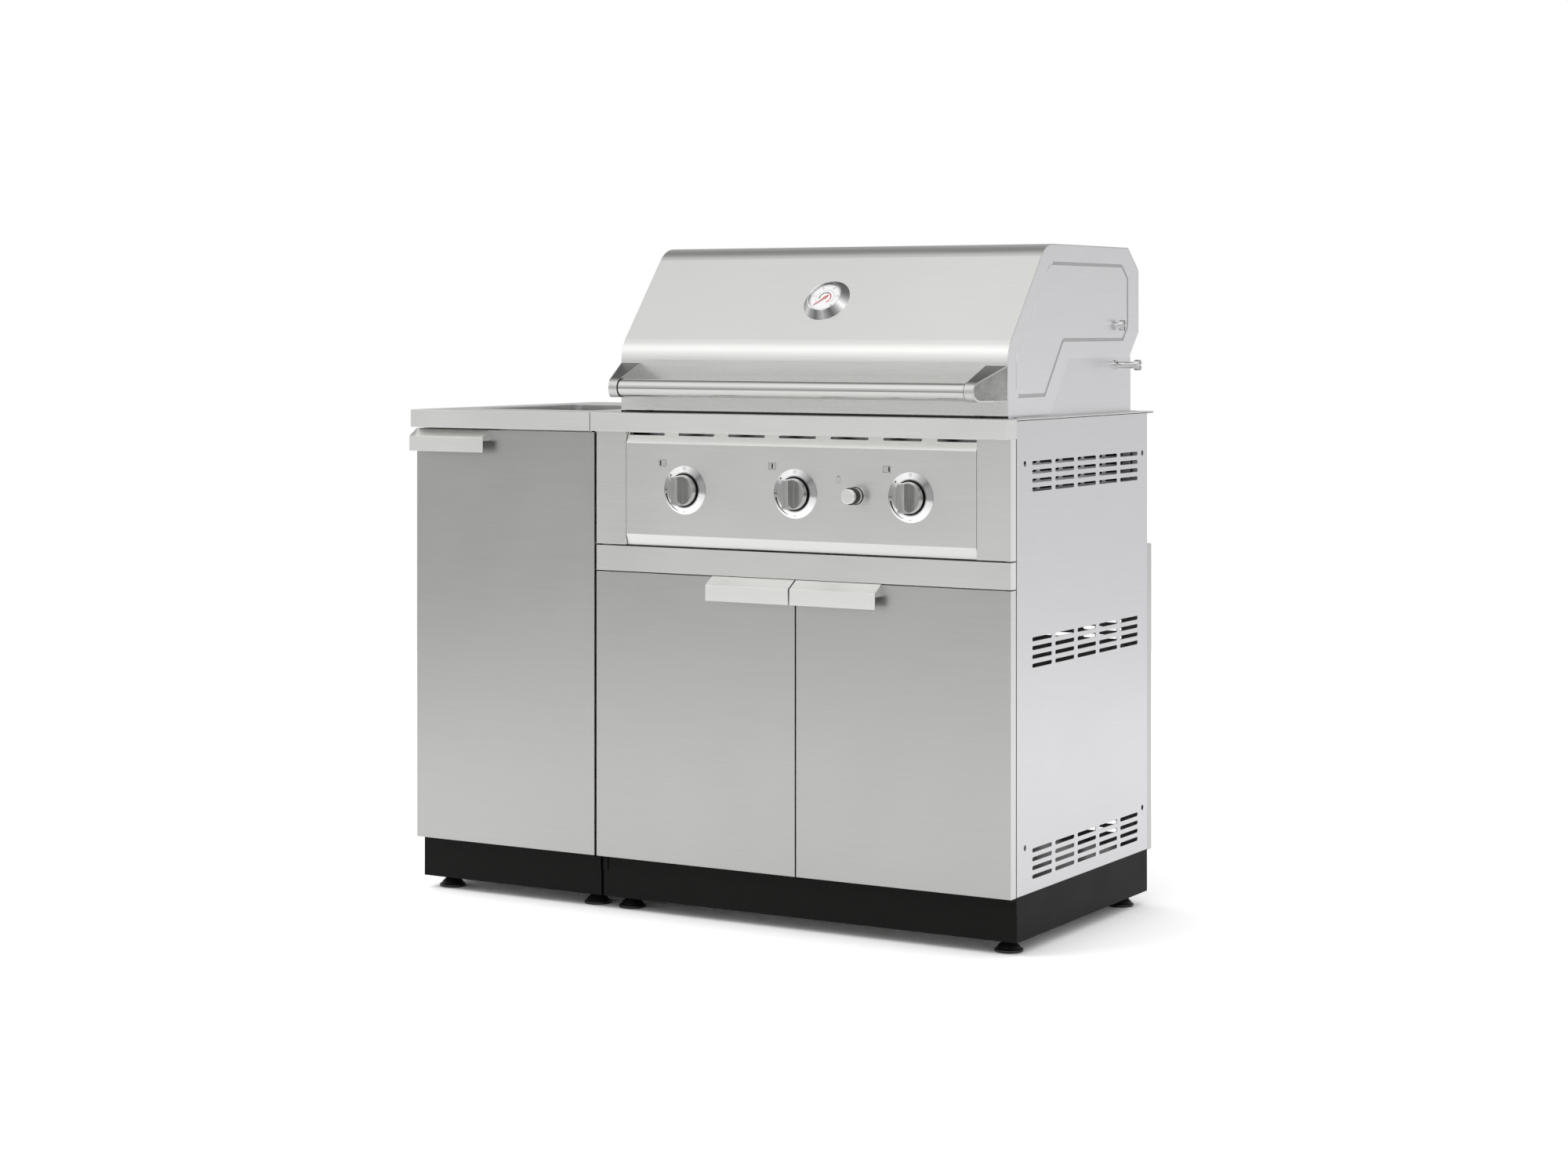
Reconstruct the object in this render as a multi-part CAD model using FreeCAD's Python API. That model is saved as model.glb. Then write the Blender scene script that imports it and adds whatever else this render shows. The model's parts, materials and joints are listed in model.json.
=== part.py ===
"""Outdoor kitchen island: a door cabinet with a basin beside a cabinet with a built-in gas grill.

Drawing axes, in millimetres: X runs to the right along the front, Y runs to the back and Z runs up.
X is 0 on the right cabinet's outer face, Y is 0 on the door fronts and Z is 0 on the ground.
The finished pieces are moved so that the origin lies under the middle of the whole island.
"""
import FreeCAD, Part
import math
import os
from FreeCAD import Placement, Rotation, Vector

# Cabinets
RIGHT_WIDTH = 847.1
LEFT_WIDTH = 407.8
CABINET_GAP = 5.3
SHEET = 1.5
CARCASS_FRONT = 21.5
CARCASS_BACK = 576.5
FLOOR_LEVEL = 101.7
FLANGE = 20.0
BACK_PAN_DEPTH = 19.7
BACK_PAN_DROP = 1.9
BACK_PAN_TOP = 670.4
TOP_RAIL_HEIGHT = 130.0
TOP_RAIL_LIP = 12.0
TOP_RAIL_END_GAP = 1.0
FRONT_RAIL_HEIGHT = 40.0
SHELF_LEVEL = 420.0
SHELF_LIP = 20.0
SHELF_FRONT_GAP = 60.0

# Plinths and levelling feet
PLINTH_SETBACK = 2.1
PLINTH_BOTTOM = 24.0
PLINTH_SHEET = 2.0
CORNER_PLATE = 70.0
CORNER_PLATE_THICKNESS = 3.0
FOOT_INSET_X = 36.0
FOOT_INSET_Y = 42.0
FOOT_RADIUS = 25.0
FOOT_RIM = 5.0
FOOT_STEP = 1.0
FOOT_NECK_RADIUS = 10.0
FOOT_CONE_TOP = 19.0
STUD_RADIUS = 5.0
STUD_LENGTH = 36.0
STUD_CLEARANCE = 0.2
NUT_RADIUS = 9.0
NUT_HEIGHT = 8.0

# Counters
COUNTER_TOP = 918.0
COUNTER_SHEET = 2.0
COUNTER_BACK_OVERHANG = 29.1
COUNTER_OVERHANG = 0.8
COUNTER_GAP = 1.6
NOSE_FRONT = -18.7
NOSE_HEIGHT = 33.5

# Basin in the left counter
BASIN_WIDTH = 267.4
BASIN_FRONT = 95.0
BASIN_LENGTH = 340.0
BASIN_DEPTH = 150.0
BASIN_SHEET = 1.2
BASIN_CORNER = 14.0
BASIN_FLANGE = 15.0
DRAIN_RADIUS = 42.0
DRAIN_FLANGE = 8.0
DRAIN_CLEARANCE = 0.2
DRAIN_CUP_DEPTH = 38.0
TAIL_RADIUS = 20.0
TAIL_LENGTH = 60.0

# Doors, their handles and their hinge pins
DOOR_THICKNESS = 20.0
DOOR_SHEET = 1.5
DOOR_DROP = 0.2
DOOR_NOSE_GAP = 3.5
RIGHT_DOOR_TOP = 626.1
DOOR_MEETING_GAP = 3.2
HANDLE_LENGTH = 171.5
HANDLE_SHEET = 1.2
HANDLE_REACH = 24.0
HANDLE_SLOPE_DROP = 14.0
HANDLE_GRIP_HEIGHT = 27.5
HANDLE_FLANGE = 15.0
HANDLE_GUSSET_HEIGHT = 20.0
PIN_RADIUS = 2.5
PIN_INSET = 5.0
RUNNING_FIT = 0.05
PIN_REACH = 8.0
PIN_HEAD_RADIUS = 3.3
PIN_HEAD_HEIGHT = 2.0
PIN_COLLAR_RADIUS = 4.5
PIN_COLLAR_GAP = 0.3
BRACKET_SHEET = 2.0
BRACKET_TOP_GAP = 1.3
BRACKET_DROP = 28.0
BRACKET_WIDTH = 9.6

# Front rail, stiles and control panel
RAIL_DOOR_GAP = 2.1
RAIL_HEIGHT = 45.9
RAIL_PANEL_GAP = 2.9
STILE_WIDTH = 64.7
FRONT_SEAM = 0.8
PANEL_LOWER_BEVEL = 19.8
PANEL_UPPER_BEVEL = 21.5
PANEL_LOWER_SETBACK = 6.5
PANEL_UPPER_SETBACK = 9.0
PANEL_SLOTS = 7
PANEL_SLOT_LENGTH = 76.0
PANEL_SLOT_HEIGHT = 4.5
PANEL_SLOT_PITCH = 105.7
PANEL_SLOT_DROP = 4.5

# Vent slots in the side panels, the back pan and the grill chassis
SLOT_LENGTH = 79.0
SLOT_HEIGHT = 7.0
SLOT_PITCH = 92.6
SLOT_ROW_PITCH = 15.2
SLOT_COLUMNS = 5
SLOT_ROWS = 4
SLOT_FIRST = 84.0
SLOT_CUT = 6.0
TOP_SLOT_DROP = 77.0
MIDDLE_SLOT_LEVEL = 537.0
BOTTOM_SLOT_LEVEL = 173.0
BACK_SLOT_COLUMNS = 8

# Holes for the next cabinet, and the bolts between these two
JOIN_HOLE_RADIUS = 5.0
JOIN_HOLE_FRONT = 55.0
JOIN_HOLE_BACK_INSET = 21.5
JOIN_HOLE_BOTTOM = 182.0
JOIN_HOLE_DROP = 77.0
JOIN_BOLT_INSET = 20.0
JOIN_BOLT_CLEARANCE = 0.1
JOIN_WASHER_RADIUS = 9.0
JOIN_HEAD_HEIGHT = 6.0

# Grill chassis, with heights above and below the counter
HOOD_INSET = 26.85
HOOD_CLEARANCE = 1.5
CHASSIS_FRONT = 52.0
CHASSIS_BACK_INSET = 8.5
CHASSIS_DROP = 228.0
CHASSIS_RISE = 112.0
CHASSIS_FRONT_RISE = 42.0
CHASSIS_BACK_RISE = 72.0
CHASSIS_SLOPE_DEPTH = 188.0
CHASSIS_CHAMFER = 13.5
CHASSIS_FLANGE = 10.0
CUTOUT_CLEARANCE = 2.0
CUTOUT_FRONT_GAP = 6.0

# Firebox and what lies in it, with depths below the counter
TUB_SIDE_GAP = 28.0
TUB_FRONT_GAP = 20.0
TUB_BACK_GAP = 18.0
TUB_DROP = 183.0
TUB_RIM_DROP = 3.0
GREASE_HOLE = 80.0
LEDGE_WIDTH = 10.0
LEDGE_DROP = 16.0
GRATE_COUNT = 3
GRATE_SIDE_GAP = 7.2
GRATE_BARS = 15
GRATE_BAR_WIDTH = 6.0
GRATE_HEIGHT = 9.0
GRATE_GAP = 1.5
TENT_DROP = 80.0
TENT_HEIGHT = 26.0
TENT_HALF_WIDTH = 46.0
TENT_SHEET = 1.2
BURNER_RADIUS = 16.0
BURNER_SETBACK = 48.0
VENTURI_RADIUS = 11.0
VENTURI_BORE = 8.0
VENTURI_BORE_DEPTH = 16.0
VENTURI_GAP = 3.0
VENTURI_HOLE_CLEARANCE = 1.0
RACK_RISE = 82.0
RACK_BAR = 4.0
RACK_BARS = 9
RACK_BACK_GAP = 78.0
RACK_PITCH = 9.0
RACK_INSET = 16.0
TRAY_SIDE_GAP = 42.2
TRAY_HEIGHT = 28.0
TRAY_SHEET = 1.2
TRAY_FRONT_GAP = 22.0
TRAY_BACK_GAP = 12.0
TRAY_LIP = 14.0
TRAY_GAP = 0.3
TRAY_RAIL_HEIGHT = 3.5
TRAY_RAIL_WIDTH = 12.0

# Gas line
KNOB_DROP = 138.0
KNOB_SPACING = 231.2
MANIFOLD_Y = 32.0
MANIFOLD_RADIUS = 9.0
MANIFOLD_DROP = 35.0
MANIFOLD_END_GAP = 2.0
BOSS_RADIUS = 8.0
BRACE_THICKNESS = 4.0
BRACE_INSET = 65.0
INLET_RADIUS = 7.0
INLET_DROP = 45.0
INLET_INSET = 18.0
INLET_NUT_RADIUS = 10.0
VALVE_SIZE = 24.0
VALVE_FRONT = 16.0
VALVE_LENGTH = 30.0
VALVE_BORE_DEPTH = 24.0
NOZZLE_RADIUS = 4.0
NOZZLE_LENGTH = 16.0
PLUNGER_RADIUS = 6.0
PLUNGER_SETBACK = 2.0
PLUNGER_LENGTH = 17.0
PLUNGER_FLOOR = 3.0
STEM_RADIUS = 3.0

# Knobs and their bezels
BEZEL_RADIUS = 44.0
BEZEL_HEIGHT = 3.5
BEZEL_EDGE = 1.2
BEZEL_FLOOR = 1.0
BEZEL_LAND = 2.0
WELL_RADIUS = 31.0
SHAFT_HOLE_RADIUS = 9.0
KNOB_RADIUS = 28.0
KNOB_BACK = -4.5
KNOB_FACE = -18.0
KNOB_FRONT = -40.0
KNOB_SKIRT = 4.0
KNOB_SKIRT_SLOPE = 1.5
BLADE_WIDTH = 13.5
BLADE_CORNER = 4.0
EDGE_REACH = 1.5

# Igniter
IGNITER_OFFSET = 123.5
IGNITER_FLANGE_RADIUS = 16.0
IGNITER_FLANGE_HEIGHT = 2.5
IGNITER_COLLAR_RADIUS = 15.0
IGNITER_COLLAR_LENGTH = 19.0
IGNITER_BARREL_RADIUS = 11.0
IGNITER_BARREL_LENGTH = 30.0
IGNITER_NUT_RADIUS = 15.0
IGNITER_NUT_HEIGHT = 5.0
BUTTON_RADIUS = 13.0
BUTTON_CLEARANCE = 0.4
BUTTON_FRONT = -33.0
BUTTON_BACK = -11.0
BUTTON_STEM_RADIUS = 5.0
BUTTON_STEM_END = 12.0
BUTTON_BORE_END = 20.0
BUTTON_EDGE = 1.5

# Hood, with heights above its own front edge
HOOD_SHEET = 1.5
HOOD_GAP = 4.0
HOOD_FRONT_OVERLAP = 10.0
HOOD_FRONT_HEIGHT = 114.2
HOOD_HEIGHT = 300.5
HOOD_SLOPE_DEPTH = 151.8
HOOD_BEND_RADIUS = 60.0
HOOD_BACK_OVERHANG = 30.0
HOOD_CHAMFER_DEPTH = 47.5
HOOD_CHAMFER_SHARE = 0.7966
HOOD_BACK_SHARE = 0.2206
HOOD_EDGE_RADIUS = 10.0
HOOD_SIDE_OVERLAP = 11.5
HOOD_REAR_CORNER_INSET = 8.0
HOOD_REAR_CORNER_RISE = 6.5
HOOD_REAR_FOOT_INSET = 11.0
HOOD_NOTCH_TOP_DEPTH = 248.0
HOOD_NOTCH_BOTTOM_DEPTH = 172.5
GROOVE_INSET = 34.0
GROOVE_BACK_SHIFT = 16.0
GROOVE_NOTCH_SHIFT = 7.5
GROOVE_WIDTH = 6.0
GROOVE_DEPTH = 0.8
GROOVE_CORNER = 9.0
BUMPER_WIDTH = 18.5
BUMPER_DEPTH = 11.0
BUMPER_LEAD = 8.0
BUMPER_INSET = 57.5
BUMPER_GAP = 0.3

# Hood hinge
PIVOT_INSET = 68.0
PIVOT_RISE = 87.0
PIVOT_PIN_RADIUS = 6.0
PIVOT_HEAD_RADIUS = 10.0
PIVOT_HEAD_LENGTH = 9.0
PIVOT_REACH = 49.0
PIVOT_COLLAR_RADIUS = 9.0
PIVOT_NUT_LENGTH = 6.0
ARM_THICKNESS = 2.5
ARM_SPACING = 2.5
ARM_LOBE_RADIUS = 16.0
ARM_WIDTH = 28.0
ARM_HEIGHT = 120.0
ARM_PAD_HEIGHT = 25.0
STOP_BOLT_RISE = 73.0
STOP_BOLT_RADIUS = 4.0
STOP_BOLT_SHANK = 5.5
STOP_BOLT_REACH = 15.0
STOP_BOLT_HEAD_RADIUS = 10.0
STOP_BOLT_HEAD_LENGTH = 8.0
STOP_BOLT_CLEARANCE = 0.1
STOP_SPACER_RADIUS = 6.0
STOP_BOLT_TAIL = 20.0
HOOD_OPEN_ANGLE = 75.0
STOP_GAP = 0.7
STOP_WIDTH = 12.0
STOP_DEPTH = 16.0
STOP_HEIGHT = 62.0
WRENCH_SLOT = 3.0

# Hood handle
BAR_RADIUS = 15.7
BAR_REACH = 64.0
BAR_RISE = 42.7
BRACKET_NOSE_RADIUS = 17.5
BRACKET_RISE = 44.3
BRACKET_INNER_INSET = 43.0
BRACKET_NOSE_INSET = 25.6
BAR_SOCKET = 12.0
BAR_CLEARANCE = 0.1

# Temperature gauge
GAUGE_SETBACK = 70.6
GAUGE_BASE_RADIUS = 45.0
GAUGE_RIM_RADIUS = 33.2
GAUGE_HEIGHT = 12.0
GAUGE_LIP = 1.0
DIAL_RADIUS = 30.8
DIAL_LEVEL = 8.2
DIAL_THICKNESS = 0.8
GLASS_LEVEL = 10.6
GLASS_THICKNESS = 1.0
GLASS_RADIUS = 32.2
SPINDLE_RADIUS = 0.9
SPINDLE_TOP = 10.1
NEEDLE_LEVEL = 9.0
NEEDLE_THICKNESS = 0.6
NEEDLE_HUB_RADIUS = 2.6
NEEDLE_LENGTH = 24.0
NEEDLE_TAIL = 8.0
NEEDLE_ROOT = 2.6
NEEDLE_TIP = 0.8
NEEDLE_REST_ANGLE = 225.0
PROBE_RADIUS = 3.0
PROBE_LENGTH = 60.0
PROBE_NUT_RADIUS = 9.0
PROBE_NUT_HEIGHT = 5.0

# Cabinet places worked out from the sizes above
RIGHT_X0 = -RIGHT_WIDTH
LEFT_X1 = RIGHT_X0 - CABINET_GAP
LEFT_X0 = LEFT_X1 - LEFT_WIDTH
SEAM_X = (RIGHT_X0 + LEFT_X1) / 2
LEFT_MID_X = (LEFT_X0 + LEFT_X1) / 2
GRILL_X = RIGHT_X0 / 2
COUNTER_UNDER = COUNTER_TOP - COUNTER_SHEET
COUNTER_BACK = CARCASS_BACK + COUNTER_BACK_OVERHANG
NOSE_BOTTOM = COUNTER_TOP - NOSE_HEIGHT
PLINTH_FRONT = CARCASS_FRONT + PLINTH_SETBACK
BACK_PAN_BACK = CARCASS_BACK + BACK_PAN_DEPTH
TOP_RAIL_BOTTOM = COUNTER_UNDER - TOP_RAIL_HEIGHT
DOOR_BOTTOM = FLOOR_LEVEL - DOOR_DROP
LEFT_DOOR_TOP = NOSE_BOTTOM - DOOR_NOSE_GAP
RAIL_BOTTOM = RIGHT_DOOR_TOP + RAIL_DOOR_GAP
RAIL_TOP = RAIL_BOTTOM + RAIL_HEIGHT
PANEL_BOTTOM = RAIL_TOP + RAIL_PANEL_GAP
PANEL_LOWER_BEND = PANEL_BOTTOM + PANEL_LOWER_BEVEL
PANEL_UPPER_BEND = NOSE_BOTTOM - PANEL_UPPER_BEVEL
PANEL_X0 = RIGHT_X0 + STILE_WIDTH + FRONT_SEAM
PANEL_X1 = -STILE_WIDTH - FRONT_SEAM
TOP_SLOT_LEVEL = COUNTER_TOP - TOP_SLOT_DROP
JOIN_HOLE_Y = (JOIN_HOLE_FRONT, CARCASS_BACK - JOIN_HOLE_BACK_INSET)
JOIN_HOLE_Z = (JOIN_HOLE_BOTTOM, COUNTER_TOP - JOIN_HOLE_DROP)

# Grill places worked out from the sizes above
HOOD_X1 = -HOOD_INSET
HOOD_INNER_X = HOOD_X1 - HOOD_SHEET
CHASSIS_X1 = HOOD_INNER_X - HOOD_CLEARANCE
CHASSIS_INNER_X = CHASSIS_X1 - SHEET
CHASSIS_BACK = CARCASS_BACK - CHASSIS_BACK_INSET
CHASSIS_BOTTOM = COUNTER_TOP - CHASSIS_DROP
CHASSIS_TOP = COUNTER_TOP + CHASSIS_RISE
TUB_X1 = CHASSIS_INNER_X - TUB_SIDE_GAP
TUB_FRONT = CHASSIS_FRONT + TUB_FRONT_GAP
TUB_BACK = CHASSIS_BACK - TUB_BACK_GAP
TUB_TOP = COUNTER_TOP - TUB_RIM_DROP
TUB_BOTTOM = COUNTER_TOP - TUB_DROP
GRATES_WIDTH = 2 * (TUB_X1 - SHEET - GRATE_SIDE_GAP - GRILL_X)
GRATE_WIDTH = (GRATES_WIDTH - (GRATE_COUNT - 1) * GRATE_GAP) / GRATE_COUNT
LEDGE_LEVEL = COUNTER_TOP - LEDGE_DROP
TENT_LEVEL = COUNTER_TOP - TENT_DROP
RACK_LEVEL = COUNTER_TOP + RACK_RISE
RACK_LAST = TUB_BACK - RACK_BACK_GAP
RACK_FRONT = RACK_LAST - (RACK_BARS - 1) * RACK_PITCH
TRAY_X1 = CHASSIS_INNER_X - TRAY_SIDE_GAP
TRAY_BOTTOM = CHASSIS_BOTTOM + SHEET + TRAY_RAIL_HEIGHT + TRAY_GAP
KNOB_LEVEL = COUNTER_TOP - KNOB_DROP
KNOB_X = [GRILL_X + KNOB_SPACING * step for step in (-1, 0, 1)]
IGNITER_X = GRILL_X + IGNITER_OFFSET
MANIFOLD_Z = KNOB_LEVEL - MANIFOLD_DROP
VALVE_BACK = VALVE_FRONT + VALVE_LENGTH
PLUNGER_FRONT = VALVE_FRONT + PLUNGER_SETBACK
HOOD_FRONT = CHASSIS_FRONT - HOOD_FRONT_OVERLAP
HOOD_BACK = CHASSIS_BACK + HOOD_BACK_OVERHANG
HOOD_BOTTOM = COUNTER_TOP + HOOD_GAP
HOOD_BEND_LEVEL = HOOD_BOTTOM + HOOD_FRONT_HEIGHT
HOOD_TOP = HOOD_BOTTOM + HOOD_HEIGHT
HOOD_TOP_BEND_Y = HOOD_FRONT + HOOD_SLOPE_DEPTH
HOOD_SIDE_BOTTOM = CHASSIS_TOP - HOOD_SIDE_OVERLAP
HOOD_SIDE_HEIGHT = HOOD_TOP - HOOD_SIDE_BOTTOM
HOOD_SLOPE = math.atan2(HOOD_TOP - HOOD_BEND_LEVEL, HOOD_SLOPE_DEPTH)
PIVOT_Y = CHASSIS_BACK - PIVOT_INSET
PIVOT_Z = COUNTER_TOP + PIVOT_RISE
PIVOT_HEAD_X = CHASSIS_X1 + PIVOT_REACH
STOP_BOLT_LEVEL = PIVOT_Z + STOP_BOLT_RISE
ARM_X1 = CHASSIS_INNER_X - ARM_SPACING
ARM_X0 = ARM_X1 - ARM_THICKNESS
ARM_TOP = PIVOT_Z + ARM_HEIGHT
BAR_Y = HOOD_FRONT - BAR_REACH
BAR_Z = HOOD_BOTTOM + BAR_RISE
BAR_INNER_X = HOOD_X1 - BRACKET_INNER_INSET
GAUGE_Y = HOOD_FRONT + GAUGE_SETBACK

# The hood's front, slope, top and back, seen from the right side as Y and Z
HOOD_PATH = [
    (HOOD_FRONT, HOOD_BOTTOM),
    (HOOD_FRONT, HOOD_BEND_LEVEL),
    (HOOD_TOP_BEND_Y, HOOD_TOP),
    (HOOD_BACK - HOOD_CHAMFER_DEPTH, HOOD_TOP),
    (HOOD_BACK, HOOD_SIDE_BOTTOM + HOOD_CHAMFER_SHARE * HOOD_SIDE_HEIGHT),
    (HOOD_BACK, HOOD_SIDE_BOTTOM + HOOD_BACK_SHARE * HOOD_SIDE_HEIGHT),
]
HOOD_RADII = [0, HOOD_BEND_RADIUS, HOOD_BEND_RADIUS, HOOD_EDGE_RADIUS, HOOD_EDGE_RADIUS, 0]

# The lower edge of the hood's sides, from the back to the front
HOOD_UNDERSIDE = [
    (CHASSIS_BACK - HOOD_REAR_CORNER_INSET, HOOD_SIDE_BOTTOM + HOOD_REAR_CORNER_RISE),
    (CHASSIS_BACK - HOOD_REAR_FOOT_INSET, HOOD_SIDE_BOTTOM),
    (HOOD_FRONT + HOOD_NOTCH_TOP_DEPTH, HOOD_SIDE_BOTTOM),
    (HOOD_FRONT + HOOD_NOTCH_BOTTOM_DEPTH, HOOD_BOTTOM),
]


# Helpers
def box(x0, x1, y0, y1, z0, z1):
    """Block between two values on each axis."""
    return Part.makeBox(x1 - x0, y1 - y0, z1 - z0, Vector(x0, y0, z0))


def rod(start, end, radius, end_radius=None):
    """Cylinder or cone from one point to another."""
    start = Vector(*start)
    run = Vector(*end) - start
    if end_radius is None or end_radius == radius:
        return Part.makeCylinder(radius, run.Length, start, run)
    return Part.makeCone(radius, end_radius, run.Length, start, run)


def join(shapes):
    """One solid from shapes that touch or cross."""
    return shapes[0].multiFuse(shapes[1:]).removeSplitter()


def group(shapes):
    """Separate solids kept together as one piece."""
    return Part.makeCompound(shapes)


def in_yz(point):
    """A flat point as Y and Z."""
    return Vector(0, point[0], point[1])


def in_xz(point):
    """A flat point as X and Z."""
    return Vector(point[0], 0, point[1])


def offset(points, distance, closed=False):
    """The same path moved to its right by a distance, with its corners kept."""
    moved = []
    count = len(points)
    for index, (a, b) in enumerate(points):
        normals = []
        for first, second in ((index - 1, index), (index, index + 1)):
            if closed or (first >= 0 and second < count):
                a0, b0 = points[first % count]
                a1, b1 = points[second % count]
                length = math.hypot(a1 - a0, b1 - b0)
                normals.append(((b1 - b0) / length, (a0 - a1) / length))
        first, last = normals[0], normals[-1]
        share = distance / (1 + first[0] * last[0] + first[1] * last[1])
        moved.append((a + share * (first[0] + last[0]), b + share * (first[1] + last[1])))
    return moved


def face(points, radii=None, plane=in_yz):
    """Flat face with straight sides and round corners."""
    corners = [plane(point) for point in points]
    radii = radii or [0] * len(corners)
    turns = []
    for index, corner in enumerate(corners):
        if radii[index] <= 0:
            turns.append((corner, corner, None))
            continue
        back = (corners[index - 1] - corner).normalize()
        ahead = (corners[(index + 1) % len(corners)] - corner).normalize()
        half = back.getAngle(ahead) / 2
        reach = radii[index] / math.tan(half)
        centre = corner + (back + ahead).normalize() * (radii[index] / math.sin(half))
        middle = centre + (corner - centre).normalize() * radii[index]
        turns.append((corner + back * reach, corner + ahead * reach, middle))
    edges = []
    for index, (start, end, middle) in enumerate(turns):
        edges.append(Part.LineSegment(turns[index - 1][1], start).toShape())
        if middle is not None:
            edges.append(Part.Arc(start, middle, end).toShape())
    return Part.Face(Part.Wire(edges))


def slab(points, x0, x1, radii=None):
    """Profile of Y and Z values, drawn out from x0 to x1."""
    flat = face(points, radii)
    flat.translate(Vector(x0, 0, 0))
    return flat.extrude(Vector(x1 - x0, 0, 0))


def band(points, thickness, x0, x1, radii=None):
    """Bent sheet: a path with its thickness on the path's right, drawn out from x0 to x1."""
    radii = radii or [0] * len(points)
    inner_radii = [max(radius - thickness, 0) for radius in radii]
    loop = points + offset(points, thickness)[::-1]
    return slab(loop, x0, x1, radii + inner_radii[::-1])


def is_upright(edge):
    """True for an edge whose two ends lie over each other."""
    first, last = edge.Vertexes
    return first.Point.sub(last.Point).cross(Vector(0, 0, 1)).Length < edge.Length / 2


def round_box(x0, x1, y0, y1, z0, z1, radius):
    """Block with round upright corners."""
    block = box(x0, x1, y0, y1, z0, z1)
    upright = [edge for edge in block.Edges if len(edge.Vertexes) == 2 and is_upright(edge)]
    return block.makeFillet(radius, upright)


def mirrored(shape):
    """The same shape on the grill's other side."""
    return shape.mirror(Vector(GRILL_X, 0, 0), Vector(1, 0, 0))


def both_sides(shape):
    """A shape and its mirror image on the grill's other side, as one piece."""
    return group([shape, mirrored(shape)])


def slot(length, height):
    """Cutter with round ends along Y, centred on X and Z, whose first end is at the origin."""
    radius = height / 2
    reach = SLOT_CUT / 2
    middle = box(-reach, reach, radius, length - radius, -radius, radius)
    ends = [rod((-reach, y, 0), (reach, y, 0), radius) for y in (radius, length - radius)]
    return join([middle] + ends)


def slot_along_x(length, height):
    """The same cutter turned to lie along X, whose last end is at the origin."""
    cutter = slot(length, height)
    cutter.rotate(Vector(0, 0, 0), Vector(0, 0, 1), 90)
    return cutter


def slot_group(x, top_level):
    """Rows and columns of side slots through a panel at X."""
    one = slot(SLOT_LENGTH, SLOT_HEIGHT)
    slots = []
    for row in range(SLOT_ROWS):
        for column in range(SLOT_COLUMNS):
            place = Vector(x, SLOT_FIRST + column * SLOT_PITCH, top_level - row * SLOT_ROW_PITCH)
            slots.append(one.translated(place))
    return slots


# Plinths and feet
def plinth(x0, x1):
    """Frame under one cabinet, with a plate in each corner for a foot."""
    wall = PLINTH_SHEET
    hollow = box(x0 + wall, x1 - wall, PLINTH_FRONT + wall, CARCASS_BACK - wall, PLINTH_BOTTOM, FLOOR_LEVEL)
    ring = box(x0, x1, PLINTH_FRONT, CARCASS_BACK, PLINTH_BOTTOM, FLOOR_LEVEL).cut(hollow)
    plate_top = PLINTH_BOTTOM + CORNER_PLATE_THICKNESS
    plates = []
    for left in (x0, x1 - CORNER_PLATE):
        for front in (PLINTH_FRONT, CARCASS_BACK - CORNER_PLATE):
            plates.append(box(left, left + CORNER_PLATE, front, front + CORNER_PLATE,
                              PLINTH_BOTTOM, plate_top))
    holes = [rod((x, y, PLINTH_BOTTOM), (x, y, plate_top), STUD_RADIUS + STUD_CLEARANCE)
             for x, y in foot_places(x0, x1)]
    return join([ring] + plates).cut(holes)


def foot_places(x0, x1):
    """Where the feet of one cabinet stand."""
    return [(x, y) for x in (x0 + FOOT_INSET_X, x1 - FOOT_INSET_X)
            for y in (PLINTH_FRONT + FOOT_INSET_Y, CARCASS_BACK - FOOT_INSET_Y)]


def foot(x, y):
    """Bell-shaped foot with a threaded stud and its nut."""
    plate_top = PLINTH_BOTTOM + CORNER_PLATE_THICKNESS
    return join([
        rod((x, y, 0), (x, y, FOOT_RIM), FOOT_RADIUS),
        rod((x, y, FOOT_RIM), (x, y, FOOT_CONE_TOP), FOOT_RADIUS - FOOT_STEP, FOOT_NECK_RADIUS),
        rod((x, y, FOOT_CONE_TOP), (x, y, PLINTH_BOTTOM), FOOT_NECK_RADIUS),
        rod((x, y, PLINTH_BOTTOM), (x, y, PLINTH_BOTTOM + STUD_LENGTH), STUD_RADIUS),
        rod((x, y, plate_top), (x, y, plate_top + NUT_HEIGHT), NUT_RADIUS),
    ])


def levelling_feet():
    """All eight feet."""
    places = foot_places(LEFT_X0, LEFT_X1) + foot_places(RIGHT_X0, 0)
    return group([foot(x, y) for x, y in places])


# Cabinet panels
def join_places(inset):
    """Y and Z of four joining holes, moved towards their middle by an inset."""
    return [(y, z) for y in (JOIN_HOLE_Y[0] + inset, JOIN_HOLE_Y[1] - inset)
            for z in (JOIN_HOLE_Z[0] + inset, JOIN_HOLE_Z[1] - inset)]


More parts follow.
